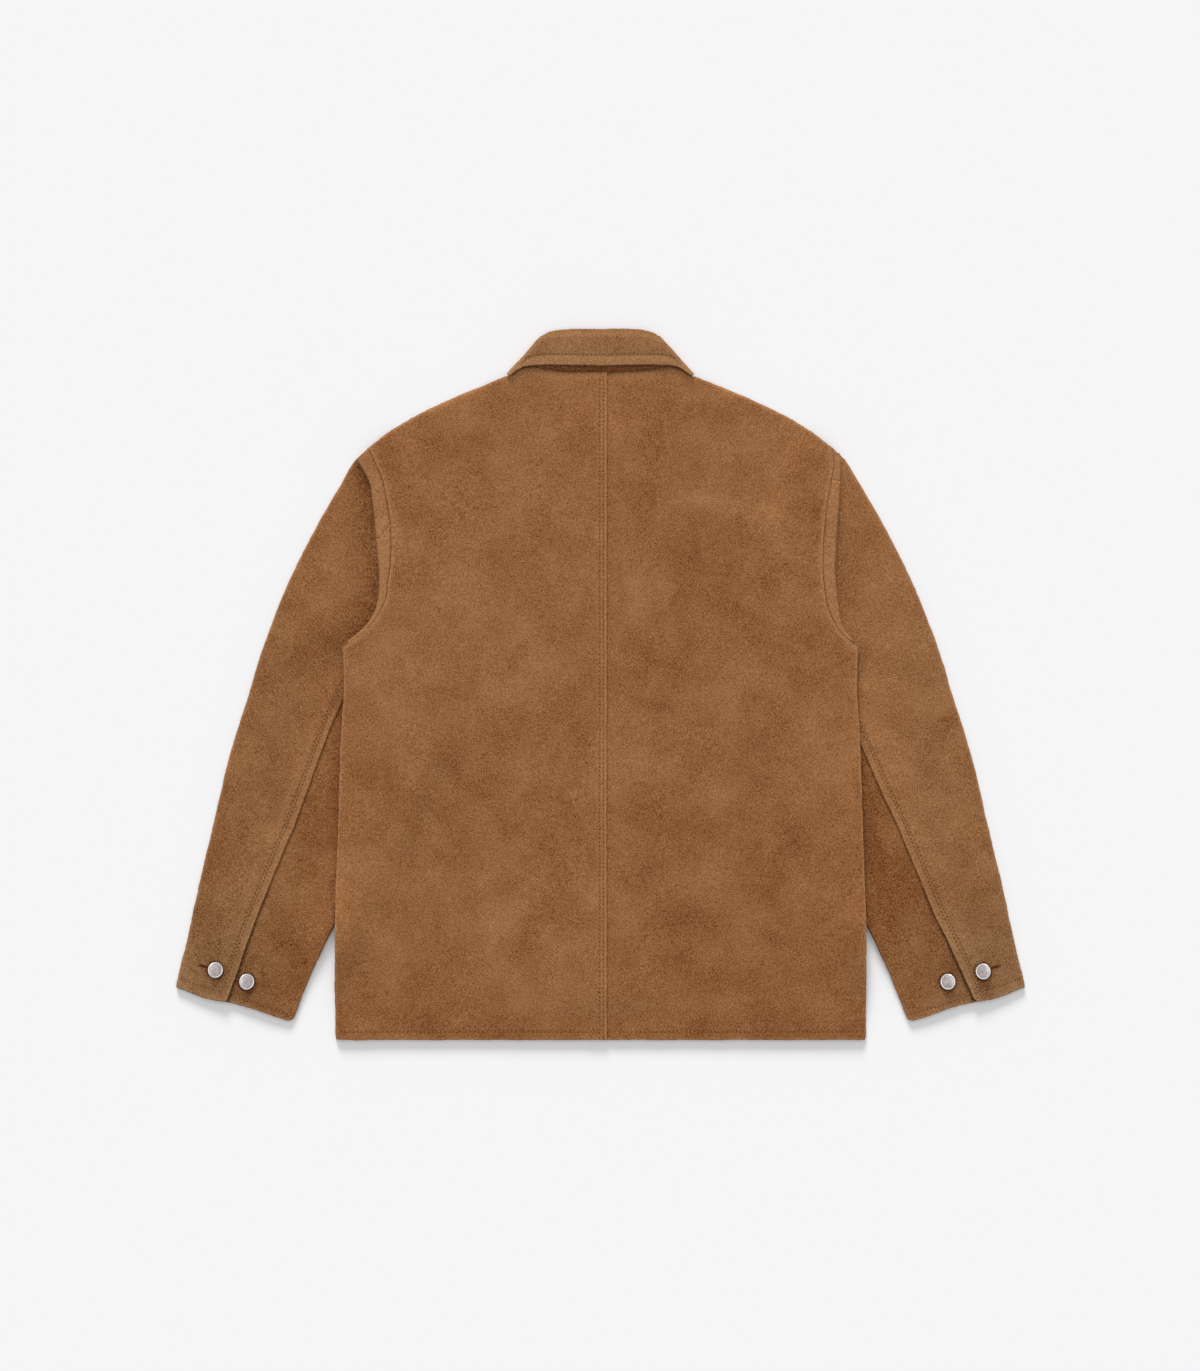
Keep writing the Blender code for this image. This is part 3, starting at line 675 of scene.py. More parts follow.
def turned_down(across, s, t):
    """Share of the way down to the front panel, in a quarter round at the side and the shoulder."""
    at_side = np.clip(1 - (1 - s)[None, :] * HALF_WIDTH / TURN_DEPTH, 0, 1)
    at_side = at_side * (t < ARMPIT_SHARE - 0.02)[:, None]
    at_top = np.clip(1 - (1 - t)[:, None] * NECK_UP / TURN_DEPTH, 0, 1) * (across > 104)
    return 1 - np.sqrt(1 - np.maximum(at_side, at_top) ** 2)


def spread(*stops):
    """Numbers from stop to stop, each stop a (value, count of steps to it from the last)."""
    parts = [[stops[0][0]]]
    for (a, _), (b, count) in zip(stops[:-1], stops[1:]):
        parts.append(np.linspace(a, b, count + 1)[1:])
    return np.concatenate(parts)


def hem_share(up):
    """1 on the turned-in hem, easing to 0 above it."""
    return ease((HEM_DEPTH + 1 - up) / 2)


def hem_row(start):
    return [(start, HEM_STITCH_UP), (HEM_ROW_END, HEM_STITCH_UP)]


def back_rows(side, low, high):
    """Stitch rows of a back panel: along its hem, and along the centre seam from low to high."""
    return [hem_row(HEM_ROW_START[side])] + [[(x, low), (x, high)] for x in BACK_STITCH_ROWS[side]]


def back(side):
    """A back panel; the left one laps over the right one at the centre seam."""
    left = side == "left"
    inner_edge = -BACK_LAP_EDGE if left else -BACK_LAP_UNDER
    width = HALF_WIDTH - inner_edge
    columns = spread((0, 0), (24, 14), (width - 8, 84), (width, 8))
    ups = spread((0, 0), (12, 10), (ARMPIT_UP, 138))
    neck = [(inner_edge, NECK_UP)] + BACK_NECK
    plan, s, t = body_panel(side, inner_edge, columns, ups, np.linspace(1, 0, 100), neck, NECK_UP, 0.0)
    side_in, plan[..., 1] = rounded(HALF_WIDTH - plan[..., 0], plan[..., 1], 5.0)
    plan[..., 0] = HALF_WIDTH - side_in
    across, up = plan[..., 0], plan[..., 1]
    hem = hem_share(up) * ease((across - 14) / 6)
    lap = ease((18 - across) / 10) * LAP_STEP
    height = back_height(across, up) + (lap if left else -lap)
    resting = front_height(across, up, side) + WALL / 2 + LAYER_GAP + hem * (HEM_WALL - WALL)
    height = height - hem * (HEM_WALL - WALL) / 2
    drop = np.clip(height - resting - WALL / 2, 0, 3.0)
    height = height - turned_down(across, s, t) * drop
    seam = armhole(side)[0][::6, :2]
    edges = [smooth(SIDE_EDGE, 40), seam, [(0, 0), (HALF_WIDTH, 0)], smooth(SHOULDER_LINE, 20)]
    # Lighter beside these lines: below the collar's free edge it is painted light over the collar's shadow,
    # and at the armhole seam it is partly wear and partly painted light.
    rubbed = [(UNDER_FALL - [0, 4.5], *MARKS["under fall rubbed"]), (seam, *MARKS["armhole rubbed"])]
    if left:
        edges.append([(inner_edge, 0), (inner_edge, NECK_UP)])
        rubbed += [([(-1.5, 0), (-1.5, 720)], *MARKS["centre rubbed"]),
                   ([(-6.0, 0), (-6.0, 720)], *MARKS["centre edge rubbed"])]
    # Painted shadow under the collar's free edge.
    painted_shade_lines = [(UNDER_FALL + [0, 1.5], *MARKS["under fall painted shadow"])]
    return cloth("back_" + side, np.dstack([plan, height]), side, hem, stitches=back_rows(side, 0, 722),
                 worn=edges, rubbed=rubbed, painted_shade_lines=painted_shade_lines)


def front(side):
    """A front panel, lying on its face."""
    columns = spread((0, 0), (80, 20), (HALF_WIDTH + FRONT_LAP, 40))
    ups = spread((0, 0), (12, 4), (ARMPIT_UP, 60))
    top = FRONT_NECK[0][1]
    plan, _, _ = body_panel(side, -FRONT_LAP, columns, ups, np.linspace(1, 0, 44), FRONT_NECK, top, 1.0)
    across, up = plan[..., 0], plan[..., 1]
    hem = hem_share(up) * ease((across - 50) / 6)
    height = front_height(across, up, side) + hem * (HEM_WALL - WALL) / 2
    edges = [[(0, 0), (HALF_WIDTH, 0)], smooth(SIDE_EDGE, 40), [(-FRONT_LAP, 0), (-FRONT_LAP, top)]]
    grid = np.dstack([plan, height])
    return cloth("front_" + side, grid, side, hem, stitches=[hem_row(-FRONT_LAP)], worn=edges)


made = {}
for side in SIDES:
    made["back_" + side] = back(side)
    made["front_" + side] = front(side)

# %% [markdown]
# ## Sleeves
#
# Each is a flattened tube of two pieces: the upper sleeve laps over the under sleeve along the
# rear seam, and at the armhole the sleeve's cloth folds back in a pleat up to the body's seam.


# %% Sleeves
SLEEVE_WAY = np.array([0.24, -0.97])
SLEEVE_STITCH_ROWS = [8.2, 11.4]
UPPER_STEPS = spread((0, 0), (0.3, 16), (1, 26))
FLOOR_STEPS = spread((0, 0), (1, 12))
SHOWN_ROW = 30
SLIVER = 0.001
FOLD_STEPS = 10
CUFF_WAVE = 2.6
OUTER_CORNER, INNER_CORNER, VENT_CORNER = 2.5, 6.0, 4.0
VENT_GAPE = 1.0
VENT_POINTS = 50
BUTTON_SHADE_WAY = [-0.5, -0.9]
# How much lighter each piece is, and its strip at the armhole.
SLEEVE_TONE = {"upper_sleeve_left": (-0.1, 0.45), "under_sleeve_left": (-0.2, 1.4),
               "upper_sleeve_right": (0.06, 0.4), "under_sleeve_right": (-0.26, 0.8)}


def sleeve_edges(share):
    return at(smooth(SLEEVE_OUTER, 400), share), at(smooth(SLEEVE_INNER, 400), share)


def sleeve_plan(share, across_share, root_offset):
    """Plan points of the flattened sleeve, at shares of its length and of its width: straight
    lines between the two edges, bowed to the hidden root near the shoulder."""
    outer, inner = sleeve_edges(share)
    tip, pit = (edge[0] for edge in sleeve_edges(np.array([0.0])))
    root, outward = with_outward(smooth(SLEEVE_ROOT, 241))
    wanted = at(root, across_share) + at(outward, across_share) * root_offset
    bow = np.clip(1 - share / 0.35, 0, 1)[..., None] ** 2
    across_share = across_share[..., None]
    return outer + (inner - outer) * across_share + bow * (wanted - tip - (pit - tip) * across_share)


def sleeve_top(across, up):
    """Middle height of the sleeve's upper layer: flatter at the root, where the pleat lies on it."""
    covered = ease((looked_up(up, PLEAT_COVER) + 26 - across) / 26) * ease((up - 372) / 26)
    return SLEEVE_TOP_LAYER - (SLEEVE_TOP_LAYER - SLEEVE_ROOT_LAYER) * covered


def bulge(across, across_share):
    """How much fuller the sleeve is where nothing lies on it."""
    return 2.4 * ease((across - 298) / 34) * ease(across_share / 0.22) * ease((1 - across_share) / 0.22)


def seam_place(side, share):
    """Share of the sleeve's width at which the rear seam lies."""
    return looked_up(share, REAR_SEAM[side])


def rear_rows(side, share):
    """The rows of stitches beside the rear seam."""
    width = np.linalg.norm(np.subtract(*sleeve_edges(share)), axis=1)
    return [sleeve_plan(share, seam_place(side, share) - gap / width, 0.0) for gap in SLEEVE_STITCH_ROWS]


def cuff_row(low, high):
    """The row of stitches round the cuff, between two shares of its width."""
    return sleeve_plan(np.full(12, 1 - HEM_STITCH_UP / SLEEVE_LENGTH), np.linspace(low, high, 12), 0.0)


def shape_cuff(plan, share, across_share, outward, width, from_vent):
    """The plan with a soft wave in the cuff's edge and with round corners."""
    wave = np.exp(-(((across_share - 0.24) / 0.13) ** 2))
    wave = wave - 0.5 * np.exp(-(((across_share - 0.62) / 0.14) ** 2))
    plan = plan + (CUFF_WAVE * wave * ease((share - 0.88) / 0.12)[:, None])[..., None] * SLEEVE_WAY
    corners = [(across_share * width, OUTER_CORNER, -1), ((1 - across_share) * width, INNER_CORNER, 1)]
    if from_vent is not None:
        corners.append((from_vent, VENT_CORNER, 1))
    for from_edge, radius, way in corners:
        to_cuff = (1 - share)[:, None] * SLEEVE_LENGTH + 0 * from_edge
        inward, upward = rounded(from_edge, to_cuff, radius)
        part = plan[:, :from_edge.shape[1]]
        part += way * outward * (inward - from_edge)[..., None]
        part -= (upward - to_cuff)[..., None] * SLEEVE_WAY
    return plan


def sleeve_marks(side, name, is_upper, share, cuff_edge, fold_edge):
    """What cloth() is told of a sleeve piece's stitches, wear and painted shade."""
    seam_line = sleeve_plan(share, seam_place(side, share), 0.0)
    armhole_line, outward = armhole(side)
    pleat_line = (armhole_line[:, :2] + outward * armhole_line[:, 2:])[::6]
    stitches, worn = [cuff_row(0, 1)], [cuff_edge, fold_edge, pleat_line]
    rubbed = [(cuff_edge, *MARKS["cuff rubbed"])]
    # Painted shadows: the colour is darkened beside the pleat's fold, beside the body's side edge, round each
    # button and, on the under sleeve, along the rear seam and in the vent.
    painted_shade_lines = [(pleat_line, *MARKS[side + " pleat painted shade"]), (smooth(SIDE_EDGE, 30), *MARKS["side painted shadow"])]
    turn = np.radians(np.arange(0, 361, 30))[:, None]
    ring = BUTTON_RADIUS * np.concatenate([np.cos(turn), np.sin(turn)], axis=1)
    for middle in CUFF_BUTTONS[side]:
        painted_shade_lines.append((ring + np.array(middle[:2]) + BUTTON_SHADE_WAY, *MARKS["button painted shadow"]))
    if is_upper:
        stitches += [line[SHOWN_ROW:] for line in rear_rows(side, share)]
        worn.append(seam_line[SHOWN_ROW:])
        rubbed.append((seam_line[SHOWN_ROW:], *MARKS["rear seam rubbed"]))
    else:
        painted_shade_lines += [(seam_line[SHOWN_ROW:], *MARKS["rear seam painted shadow"]),
                   (seam_line[-VENT_POINTS:], *MARKS["vent painted shadow"])]
    shade, flap_shade = SLEEVE_TONE[name]
    # The strip at the armhole gets a thin line of painted shade along its seam.
    return {"stitches": stitches, "worn": worn, "rubbed": rubbed, "painted_shade_lines": painted_shade_lines, "shade": shade,
            "flap_shade": flap_shade, "flap_painted_shade_lines": [(armhole_line[::6, :2], *MARKS["armhole painted shade"])]}


def sleeve_piece(side, kind):
    """An upper or under sleeve: its upper layer, folded edge and lower layer as one sheet. The
    upper sleeve folds at the outer edge and the under sleeve at the inner one."""
    name, is_upper = f"{kind}_sleeve_{side}", kind == "upper"
    share = spread((0, 0), (0.09, 18), (1 - (HEM_DEPTH + 1) / SLEEVE_LENGTH, 150), (1, 9))
    outer, inner = sleeve_edges(share)
    width = np.linalg.norm(outer - inner, axis=1)[:, None]
    seam = seam_place(side, share)[:, None]
    start, forearm = seam, FOREARM_SEAM - SLIVER
    if not is_upper:
        start = seam + SLIVER - (SLEEVE_LAP / width + SLIVER) * ease((share - 0.26) / 0.07)[:, None]
        forearm = FOREARM_SEAM + SLIVER
    edge_plan = sleeve_plan(share, (0.02 if is_upper else 0.98) + 0 * share, 0.0)
    radius = (sleeve_top(edge_plan[:, 0], edge_plan[:, 1])[:, None] - FLOOR_LAYER) / 2
    angles = np.radians(np.linspace(90, -90, FOLD_STEPS))[None, :]
    reach = (radius * (1 - np.cos(angles)) + WALL / 2) / width
    fold = reach if is_upper else 1 - reach
    top = (start + (fold[:, :1] - start) * UPPER_STEPS)[:, :-1]
    floor = (fold[:, -1:] + (forearm - fold[:, -1:]) * FLOOR_STEPS)[:, 1:]
    across_share = np.concatenate([top, fold, floor], axis=1)
    folded = FLOOR_LAYER + radius * (1 + np.sin(angles))
    is_top = np.concatenate([np.full(top.shape, True), folded > FLOOR_LAYER + radius,
                             np.full(floor.shape, False)], axis=1)
    root_offset = np.where(is_top, (PLEAT_LAYER - SLEEVE_ROOT_LAYER) / 2, 0.0)[..., None]
    plan = sleeve_plan(share[:, None] + 0 * across_share, across_share, root_offset)
    columns = top.shape[1]
    from_seam = np.abs(top - seam) * width
    plan = shape_cuff(plan, share, across_share, ((outer - inner) / width)[:, None], width,
                      from_seam if is_upper else None)
    upper = sleeve_top(plan[..., 0], plan[..., 1])[:, :columns]
    upper = upper + bulge(plan[:, :columns, 0], top) * (1 - 0.7 * ease((share - 0.86) / 0.14))[:, None]
    step = LAP_STEP * ease((24 - from_seam) / 10) * ease((share - 0.2) / 0.05)[:, None]
    if is_upper:
        gape = ease((share - 0.8) / 0.08)[:, None] * ease((15 - from_seam) / 15)
        upper = upper + step + VENT_GAPE * gape
    else:
        upper = upper - step
    height = np.concatenate([upper, folded, np.full(floor.shape, FLOOR_LAYER)], axis=1)
    hem = hem_share((1 - share) * SLEEVE_LENGTH)[:, None] * np.concatenate(
        [ease((from_seam - 12) / 4), 0 * fold, 0 * floor + 1], axis=1)
    height = height - hem * np.where(is_top, 1, -1) * (HEM_WALL - WALL) / 2
    grid = np.dstack([plan, height])
    root_seam = REAR_SEAM[side][0][1]
    pleat_range = (0.0, root_seam) if is_upper else (root_seam, 1.0)
    flap = pleat(side, grid[0, :columns], across_share[0, :columns], pleat_range)
    fold_edge = plan[:, columns + FOLD_STEPS // 2]
    marks = sleeve_marks(side, name, is_upper, share, grid[-1, :columns, :2], fold_edge)
    return cloth(name, grid, side, hem, flap, on_top=is_top, **marks)


def pleat(side, first_row, across_share, pleat_range):
    """The Z-shaped fold at the armhole: under, out past the seam, and back over to the seam.
    Gives its grid, whose first row is the sleeve's own, and the column it starts from."""
    chosen = np.flatnonzero((across_share >= pleat_range[0]) & (across_share <= pleat_range[1]))
    root_share = across_share[chosen]
    first = root_share.min() if pleat_range[0] == 0 else 0.0
    share = root_share - first * (1 - root_share / pleat_range[1]) / (1 - first / pleat_range[1])
    share = np.interp(share, [0, REAR_SEAM[side][0][1], 1], [0, PLEAT_JOINT[side], 1])
    curve, outward = armhole(side)
    slant = PLEAT_SLANT[side] * np.exp(-(((share - PLEAT_JOINT[side]) / 0.12) ** 2))
    slant = slant + PLEAT_LEAD * np.clip(1 - share / 0.1, 0, 1) ** 2
    root_away = at(with_outward(smooth(SLEEVE_ROOT, 241))[1], root_share)
    seam_end = at(curve, share)
    seam, away = at(curve, share + slant), at(outward, share + slant)
    top = back_height(seam[:, 0], seam[:, 1])
    turn = np.radians(np.linspace(0, 180, 9))[:, None]
    small = (PLEAT_LAYER - SLEEVE_ROOT_LAYER) / 2
    large = (top - PLEAT_LAYER) / 2
    under = first_row[chosen, :2] - root_away * small * np.sin(turn)[..., None]
    under_height = SLEEVE_ROOT_LAYER + small * (1 - np.cos(turn)) + 0 * share
    reach = seam[:, 2] - large + large * np.sin(turn)
    over = seam[:, :2] + away * reach[..., None]
    over_height = PLEAT_LAYER + large * (1 - np.cos(turn))
    back_in = np.linspace(1, 0, 6)[1:, None, None]
    end = seam_end[:, :2] + at(outward, share) * SEAM_GAP
    strip = end + (over[-1] - end) * back_in
    plan = np.concatenate([under, over, strip])
    back_in = back_in[..., 0]
    strip_height = back_height(strip[..., 0], strip[..., 1]) + (top - back_height(*over[-1].T)) * back_in
    strip_height = strip_height - SEAM_SINK * ease(1 - back_in * 2.5)
    return np.dstack([plan, np.concatenate([under_height, over_height, strip_height])]), chosen[0]


for side in SIDES:
    for kind in ("upper", "under"):
        made[f"{kind}_sleeve_{side}"] = sleeve_piece(side, kind)

# %% [markdown]
# ## Collar
#
# Fall and stand go round the neck fold: their back halves lie on top and their front halves
# beneath. The fall curls over at the roll, and its free edge stands a little off the back.


# %% Collar
COLLAR_STEPS = (44, 38)


def collar_half(lines, levels, fold_radius, rows, roll_radius):
    """Grid of half a collar band from the centre back to the front end, and 1 on its back half to -1
    on its front half. Each row is (share from the roll to the edge, degrees of curl at the roll)."""
    lines = {key: smooth(line, 200) for key, line in lines.items()}
    along_back, along_front_half = (np.linspace(0, 1, count) for count in COLLAR_STEPS)
    back_roll, back_edge = (at(lines[key], along_back) for key in ("roll", "edge"))
    front_roll, front_edge = (at(lines[key], along_front_half) for key in ("front_roll", "front_edge"))
    angles = np.radians(np.linspace(90, -90, 12))[None, :]
    last = back_edge[-1] - back_roll[-1]
    along = last / np.linalg.norm(last)
    share, curl = rows[:, 0], np.radians(rows[:, 1])
    curls = curl.max() > 0
    inset = (roll_radius + COLLAR_WALL / 2) * curls - roll_radius * np.cos(curl)
    u = share[:, None, None]
    radius = fold_radius * (1 - 0.65 * curls * (1 - ease(share / 0.3)))
    outward = np.array([-along[1], along[0]]) * radius[:, None, None]
    bow = at(lines["fold"], share)[:, None] - (back_roll[-1] + u * last)

    def band(roll, edge):
        down = (edge - roll) / np.linalg.norm(edge - roll, axis=1)[:, None]
        return roll + u * (edge - roll) + down * (inset * (1 - share))[:, None, None]

    back_half = band(back_roll, back_edge) + (bow - outward) * (along_back**3)[None, :, None]
    front_half = band(front_roll, front_edge)
    front_half = front_half + (bow - outward) * (1 - along_front_half**0.5)[None, :, None]
    turned = back_half[:, -1:] + outward * np.cos(angles)[..., None]
    middle, reach = sum(levels) / 2, (levels[0] - levels[1]) / 2
    plan = np.concatenate([back_half[:, :-1], turned, front_half[:, 1:]], axis=1)
    side_of = np.concatenate(
        [np.ones(len(along_back) - 1), np.sin(angles[0]), -np.ones(len(along_front_half) - 1)])[None, :]
    drop = roll_radius * (1 - np.sin(curl))[:, None] * curls
    return np.dstack([plan, middle + reach * side_of - drop * side_of]), side_of


def collar_band(name, lines, levels, fold_radius, rows, roll_radius, wall, fuller, **marks):
    """A collar piece with both halves, mirrored about the centre back."""
    half, side_of = collar_half(lines, levels, fold_radius, rows, roll_radius)
    half[..., 2] += fuller(rows[:, 0])[:, None] * np.clip(side_of, 0, 1)
    on_top = np.broadcast_to(side_of > 0.5, half.shape[:2])
    other = half[:, :0:-1] * [-1, 1, 1]
    grid = np.concatenate([other, half], axis=1)
    top = np.concatenate([on_top[:, :0:-1], on_top], axis=1)
    return cloth(name, grid, "right", wall=wall, on_top=top, **marks)


def mirrored(line):
    """A line from the centre outwards, with its mirror image before it."""
    line = np.asarray(line, float)[:, :2]
    return np.concatenate([line[::-1] * [-1, 1], line[1:]])


FALL_ROWS = [(0.16, -90), (0.08, -90)] + [(0, angle) for angle in np.linspace(-90, 90, 9)]
FALL_ROWS = np.array(FALL_ROWS + [(share, 90) for share in np.linspace(0, 1, 27)[1:]], float)
STAND_ROWS = np.array([(share, -90) for share in np.linspace(0, 1, 14)], float)
FALL_EDGE = mirrored(smooth(FALL["edge"], 30))
FALL_STITCH = mirrored([(0, 739.6), (30, 740.1), (60, 740.6), (74, 738.8), (86, 735.5), (94, 731)])


def fall_fuller(share):
    """The fall is soft: it rises past the roll, dips at the stitches and swells to its free edge."""
    rise = 2.2 * ease(share / 0.2) * ease((1.0 - share) / 0.55)
    return rise + 1.1 * ease((share - 0.69) / 0.18) + 0.5 * np.clip((share - 0.8) / 0.2, 0, 1)


# The lighter band along the fall's free edge is partly wear and partly painted light.
made["collar_fall"] = collar_band(
    "collar_fall", FALL, (FALL_BACK_LAYER, FALL_FRONT_LAYER), 3.2, FALL_ROWS, 1.05, COLLAR_WALL,
    fall_fuller, stitches=[FALL_STITCH], worn=[FALL_EDGE], rubbed=[(FALL_EDGE, *MARKS["fall rubbed"])],
    shade=0.1, dust=0.5)
# The stand shows only in the crevice under the fall: its whole tone is made darker as painted shade.
made["collar_stand"] = collar_band(
    "collar_stand", STAND, (BACK_LAYER, STAND_FRONT_LAYER), 0.95, STAND_ROWS, 1.0, WALL,
    np.zeros_like, shade=-0.7)

# %% [markdown]
# ## Stitches
#
# Each stitch is a short thread that dips into the suede at both ends. Rays from above find the
# surface that it lies on, and all the stitches of a row make one mesh.

# %% Stitches
from mathutils import Vector
from mathutils.bvhtree import BVHTree

THREAD_RADIUS = 0.36
STITCH_PITCH = 4.5
STITCH_LENGTH = 3.3
HOLE_LENGTH = 1.3
HOLE_RADIUS = 0.56
RAY_START = 0.1


def surface(piece):
    """A piece with its thickness, ready for rays."""
    return BVHTree.FromObject(piece, bpy.context.evaluated_depsgraph_get())


def on_surface(tree, plan):
    """Points of a piece's upper face straight above plan points in metres; NaN where there is none."""
    found = []
    for x, y in plan:
        hit = tree.ray_cast(Vector((x, y, RAY_START)), Vector((0, 0, -1)))[0]
        found.append(tuple(hit) if hit else (np.nan, np.nan, np.nan))
    return np.array(found)


def threads(name, piece, starts, ends, holes, radius=THREAD_RADIUS, rise=0.15, colour=TAN_THREAD):
    """One mesh of short threads between two lists of plan points in metres. The first of them, as
    many as holes says, are dark meshes painted as the shade in the holes between stitches; radius and rise
    are the stitches' own."""
    tans = np.arange(len(starts)) >= holes
    tree = surface(piece)
    a, b = on_surface(tree, starts), on_surface(tree, ends)
    keep = ~np.isnan(a[:, 0] + b[:, 0])
    a, b, tans = a[keep], b[keep], tans[keep]
    thick = np.where(tans, radius, HOLE_RADIUS)[:, None, None]
    along = b - a
    length = np.linalg.norm(along, axis=1)[:, None]
    side_way = np.cross(along / length, [0, 0, 1.0])
    side_way /= np.linalg.norm(side_way, axis=1)[:, None]
    up_way = np.cross(side_way, along / length)
    profile = [(0.0, 0.35, -0.35), (0.12, 0.8, -0.05), (0.32, 1.0, rise), (0.68, 1.0, rise),
               (0.88, 0.8, -0.05), (1.0, 0.35, -0.35)]
    around = np.radians(np.arange(0, 360, 60))[:, None]
    ring = side_way[:, None] * np.cos(around) + up_way[:, None] * np.sin(around) * 0.7
    points = np.stack([(a + along * share + up_way * lift * MM)[:, None] + ring * thick * wide * MM
                       for share, wide, lift in profile], axis=1)
    count, sections, sides = points.shape[:3]
    one = grid_faces(grid_ids(sections, sides, closed=True))
    faces = (one[None] + (np.arange(count) * sections * sides)[:, None, None]).reshape(-1, 4)
    thing = mesh_object(name, points.reshape(-1, 3), faces, HOLE_SHADE, colour)
    thing.data.polygons.foreach_set("material_index", np.repeat(tans.astype(np.int32), len(one)))
    print(name, count, "stitches")
    return thing


def plan_metres(line, side):
    """Points (across, up) in millimetres as points of the plan in metres."""
    line = np.asarray(line, float)[:, :2]
    return np.stack([line[:, 0] * SIDES[side] * MM, (line[:, 1] - LENGTH / 2) * MM], axis=1)


def row(name, lines, side):
    """Rows of stitches along lines (across, up) on the piece of that name."""
    holes, stitches = [], []
    for number, line in enumerate(lines):
        line = np.asarray(line, float)[:, :2]
        total = np.hypot(*np.diff(line, axis=0).T).sum()
        count = int(total // STITCH_PITCH)
        fine = even(line, max(2, int(total)))
        wobble = hills(np.arange(count) * 7.3, number * 11.0 + 0 * np.arange(count), 9, 5) * 0.12
        first = (np.arange(count) * STITCH_PITCH + HOLE_LENGTH + wobble) / total
        holes.append((at(fine, first - HOLE_LENGTH / total), at(fine, first)))
        stitches.append((at(fine, first), at(fine, first + STITCH_LENGTH / total)))
    starts, ends = (plan_metres(np.concatenate(part), side) for part in zip(*holes, *stitches))
    count = sum(len(part[0]) for part in holes)
    sewn[name] = threads("stitches_" + name, made[name], starts, ends, count)


sewn = {}
for side in SIDES:
    row("back_" + side, back_rows(side, 1.5, 720), side)
    vent = REAR_SEAM[side][-1][1]
    shown = np.linspace(0.2, 0.995, 60)
    row("upper_sleeve_" + side, [*rear_rows(side, shown), cuff_row(0.03, vent - 0.08)], side)
    row("under_sleeve_" + side, [cuff_row(vent + 0.02, 0.97)], side)
row("collar_fall", [FALL_STITCH], "right")

# %% [markdown]
# ## Buttons and buttonholes

# %% Buttons
BUTTON_PROFILE = [(0.0, 3.0), (3.0, 2.97), (5.2, 2.86), (6.3, 2.7), (6.75, 2.5), (7.0, 2.5), (7.3, 2.68),
                  (7.75, 2.78), (8.15, 2.66), (8.42, 2.35), (8.5, 1.95), (8.42, 1.5), (8.1, 1.2), (7.5, 1.08),
                  (3.2, 1.0), (3.0, 0.5), (3.0, -0.3)]
BUTTON_HEIGHT = 3.0
FRONT_BUTTON_HEIGHT = 2.2
RIM_RADIUS = 7.0
BUTTON_LEAN = 25.0
BUTTONHOLE_TIPS = {"left": (434.0, 81.2), "right": (431.8, 80.8)}
# Buttonhole stitches: step along the slit, from and to across it, and the same round the eyelet.
HOLE_STEP = 0.62
HOLE_STITCH = (0.25, 1.8)
EYELET_STITCH = (0.7, 1.9)
EYELET_INSET = 1.2


def button(name, across, up, base, height=BUTTON_HEIGHT, face_down=False, lean=0.0):
    """A turned metal cap with a rim, on its shank, leaning sideways by an angle in degrees."""
    turns = np.radians(np.arange(0, 360, 5))
    r, z = np.array(BUTTON_PROFILE).T
    z = z * height / BUTTON_HEIGHT
    if face_down:
        z = height - z
    r, z = r[:, None], z[:, None]
    ring = np.stack([r * np.cos(turns), r * np.sin(turns), z + 0 * turns], axis=-1)
    c, s = np.cos(np.radians(lean)), np.sin(np.radians(lean))
    points = ring.reshape(-1, 3) @ np.array([[c, 0, s], [0, 1, 0], [-s, 0, c]]) * MM
    points = points + [across * MM, (up - LENGTH / 2) * MM, base + abs(s) * BUTTON_RADIUS * MM]
    faces = grid_faces(grid_ids(len(r), len(turns), closed=True))[:, ::-1 if face_down else 1]
    cap = mesh_object(name + "_cap", points, faces, METAL)
    # The rim attribute marks where the painted highlight goes.
    set_attribute(cap.data, "rim", np.repeat(ease((r - RIM_RADIUS) / 0.3), len(turns)))
    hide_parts(name)
    return cap


def buttonhole(side, centre, tip):
    """A slit out from under the button, edged with close stitches and ending in an eyelet."""
    centre, tip = np.array(centre, float), np.array(tip, float)
    way = (tip - centre) / np.linalg.norm(tip - centre)
    across_way = np.array([-way[1], way[0]])
    steps = np.arange(BUTTON_RADIUS - 1.5, np.linalg.norm(tip - centre) - EYELET_INSET, HOLE_STEP)
    slit = [centre + way * step for step in steps]
    stitches = [(spot, across_way * sign, HOLE_STITCH) for sign in (-1, 1) for spot in slit]
    for angle in np.radians(np.arange(-110, 111, 20)):
        ray = way * np.cos(angle) + across_way * np.sin(angle)
        stitches.append((tip - way * EYELET_INSET, ray, EYELET_STITCH))
    starts, ends = ([spot + ray * reach[k] for spot, ray, reach in stitches] for k in (0, 1))
    # The slit is drawn with the dark hole meshes: painted shade in the opening.
    starts, ends = plan_metres(slit[:-1] + starts, side), plan_metres(slit[1:] + ends, side)
    return threads("buttonhole_" + side, made["upper_sleeve_" + side], starts, ends, len(slit) - 1,
                   0.34, 0.1, RUST_THREAD)


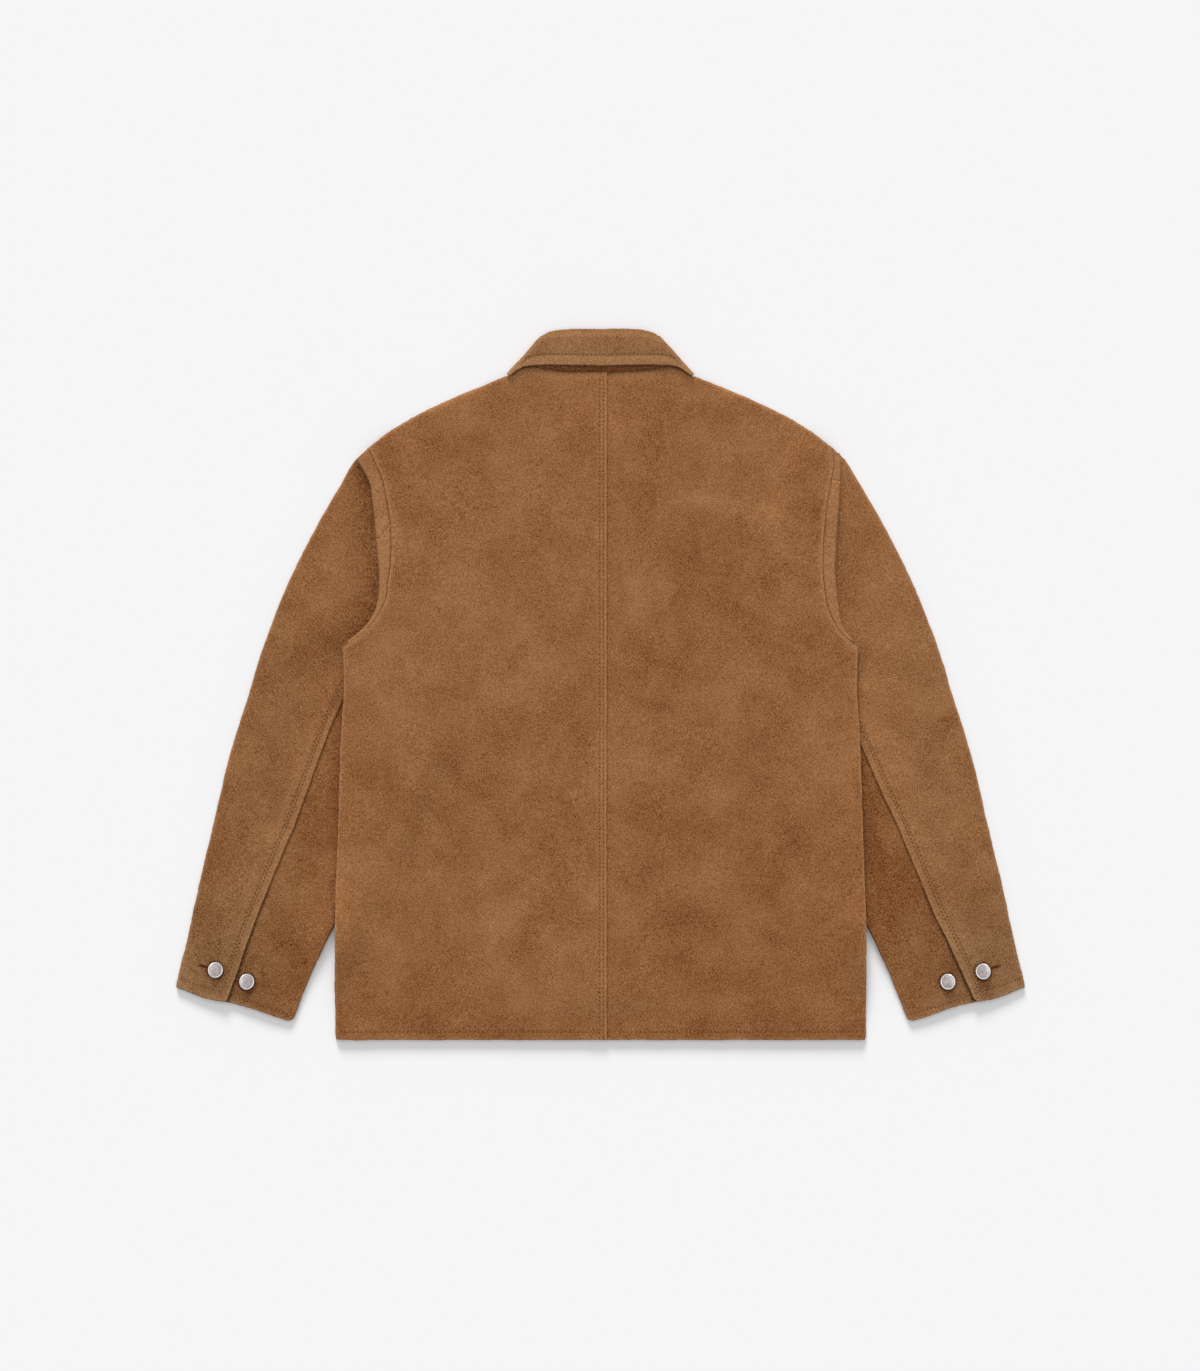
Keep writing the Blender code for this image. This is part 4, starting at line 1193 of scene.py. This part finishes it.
for side, places in CUFF_BUTTONS.items():
    carriers = [surface(made["upper_sleeve_" + side]), surface(made["under_sleeve_" + side])]
    for number, (across, up, _) in enumerate(places, 1):
        name = f"cuff_button_{side}_{number}"
        spot = plan_metres([(across, up)], side)
        base = np.nanmax([on_surface(tree, spot)[0, 2] for tree in carriers])
        made[name] = button(name, across * SIDES[side], up, base, lean=BUTTON_LEAN * SIDES[side])
    sewn["buttonhole_" + side] = buttonhole(side, places[0][:2], BUTTONHOLE_TIPS[side])
for number, up in enumerate(FRONT_BUTTONS_UP, 1):
    made[f"front_button_{number}"] = button(
        f"front_button_{number}", 0, up, 0.0, FRONT_BUTTON_HEIGHT, face_down=True)
print(len(made), "pieces and", len(sewn), "sewn rows")

# %% [markdown]
# ## The cut of each cloth piece
#
# Width, length and area before sewing, in metres: on the sleeves all round the flattened tube.

# %% Cut
CUT = {
    "back": (0.300, 0.735, 0.200),
    "front": (0.312, 0.715, 0.200),
    "upper_sleeve": (0.260, 0.640, 0.098),
    "under_sleeve": (0.270, 0.600, 0.115),
    "collar_fall": (0.400, 0.090, 0.028),
    "collar_stand": (0.330, 0.045, 0.0125),
}
for name, piece in made.items():
    kind = name.rsplit("_", 1)[0] if name.endswith(("left", "right")) else name
    if kind in CUT:
        stitches = [sewn[name]] if name in sewn else []
        if kind == "upper_sleeve":
            stitches.append(sewn["buttonhole_" + name.rsplit("_", 1)[1]])
        rests = "floor" if kind in ("front", "under_sleeve", "upper_sleeve") else "front_left"

# %% [markdown]
# ## Floor, light and camera
#
# A pale floor and soft light from beyond the collar, and the camera straight above.

# %% Stage
FLOOR_HALF = 6.0
CAMERA_HEIGHT = 4.008
floor_material = new_material(
    "floor_paper", Base_Color=(0.86, 0.86, 0.87, 1), Roughness=0.9, Specular_IOR_Level=0.0)[0]
floor_mesh = bpy.data.meshes.new("floor")
corners = [(x * FLOOR_HALF, y * FLOOR_HALF, 0) for x, y in ((-1, -1), (1, -1), (1, 1), (-1, 1))]
floor_mesh.from_pydata(corners, [], [(0, 1, 2, 3)])
floor_mesh.materials.append(floor_material)
floor = bpy.data.objects.new("floor", floor_mesh)
bpy.context.scene.collection.objects.link(floor)

world = bpy.data.worlds.new("studio")
bpy.context.scene.world = world
world.use_nodes = True
background = world.node_tree.nodes["Background"].inputs
background["Color"].default_value = (1.0, 1.0, 1.0, 1)
background["Strength"].default_value = 0.40


def soft_sun(name, way, angle, strength):
    """Even light from one direction, as soft as its angle in degrees is wide."""
    light = bpy.data.lights.new(name, "SUN")
    light.angle, light.energy = np.radians(angle), strength
    lamp = bpy.data.objects.new(name, light)
    lamp.location = way
    lamp.rotation_euler = (-Vector(way)).to_track_quat("-Z", "Y").to_euler()
    bpy.context.scene.collection.objects.link(lamp)
    return lamp


soft_sun("key_light", (-0.3, 2.6, 1.18), 21, 2.68)
soft_sun("overhead_light", (0.0, 0.3, 3.0), 60, 1.01)

camera_data = bpy.data.cameras.new("camera")
camera_data.sensor_fit = "VERTICAL"
camera_data.sensor_height = 36
camera_data.lens = 97.25
camera = bpy.data.objects.new("camera", camera_data)
camera.location = (-0.0005, -0.0011, CAMERA_HEIGHT)
bpy.context.scene.collection.objects.link(camera)
bpy.context.scene.camera = camera
bpy.context.scene.view_settings.view_transform = "Standard"
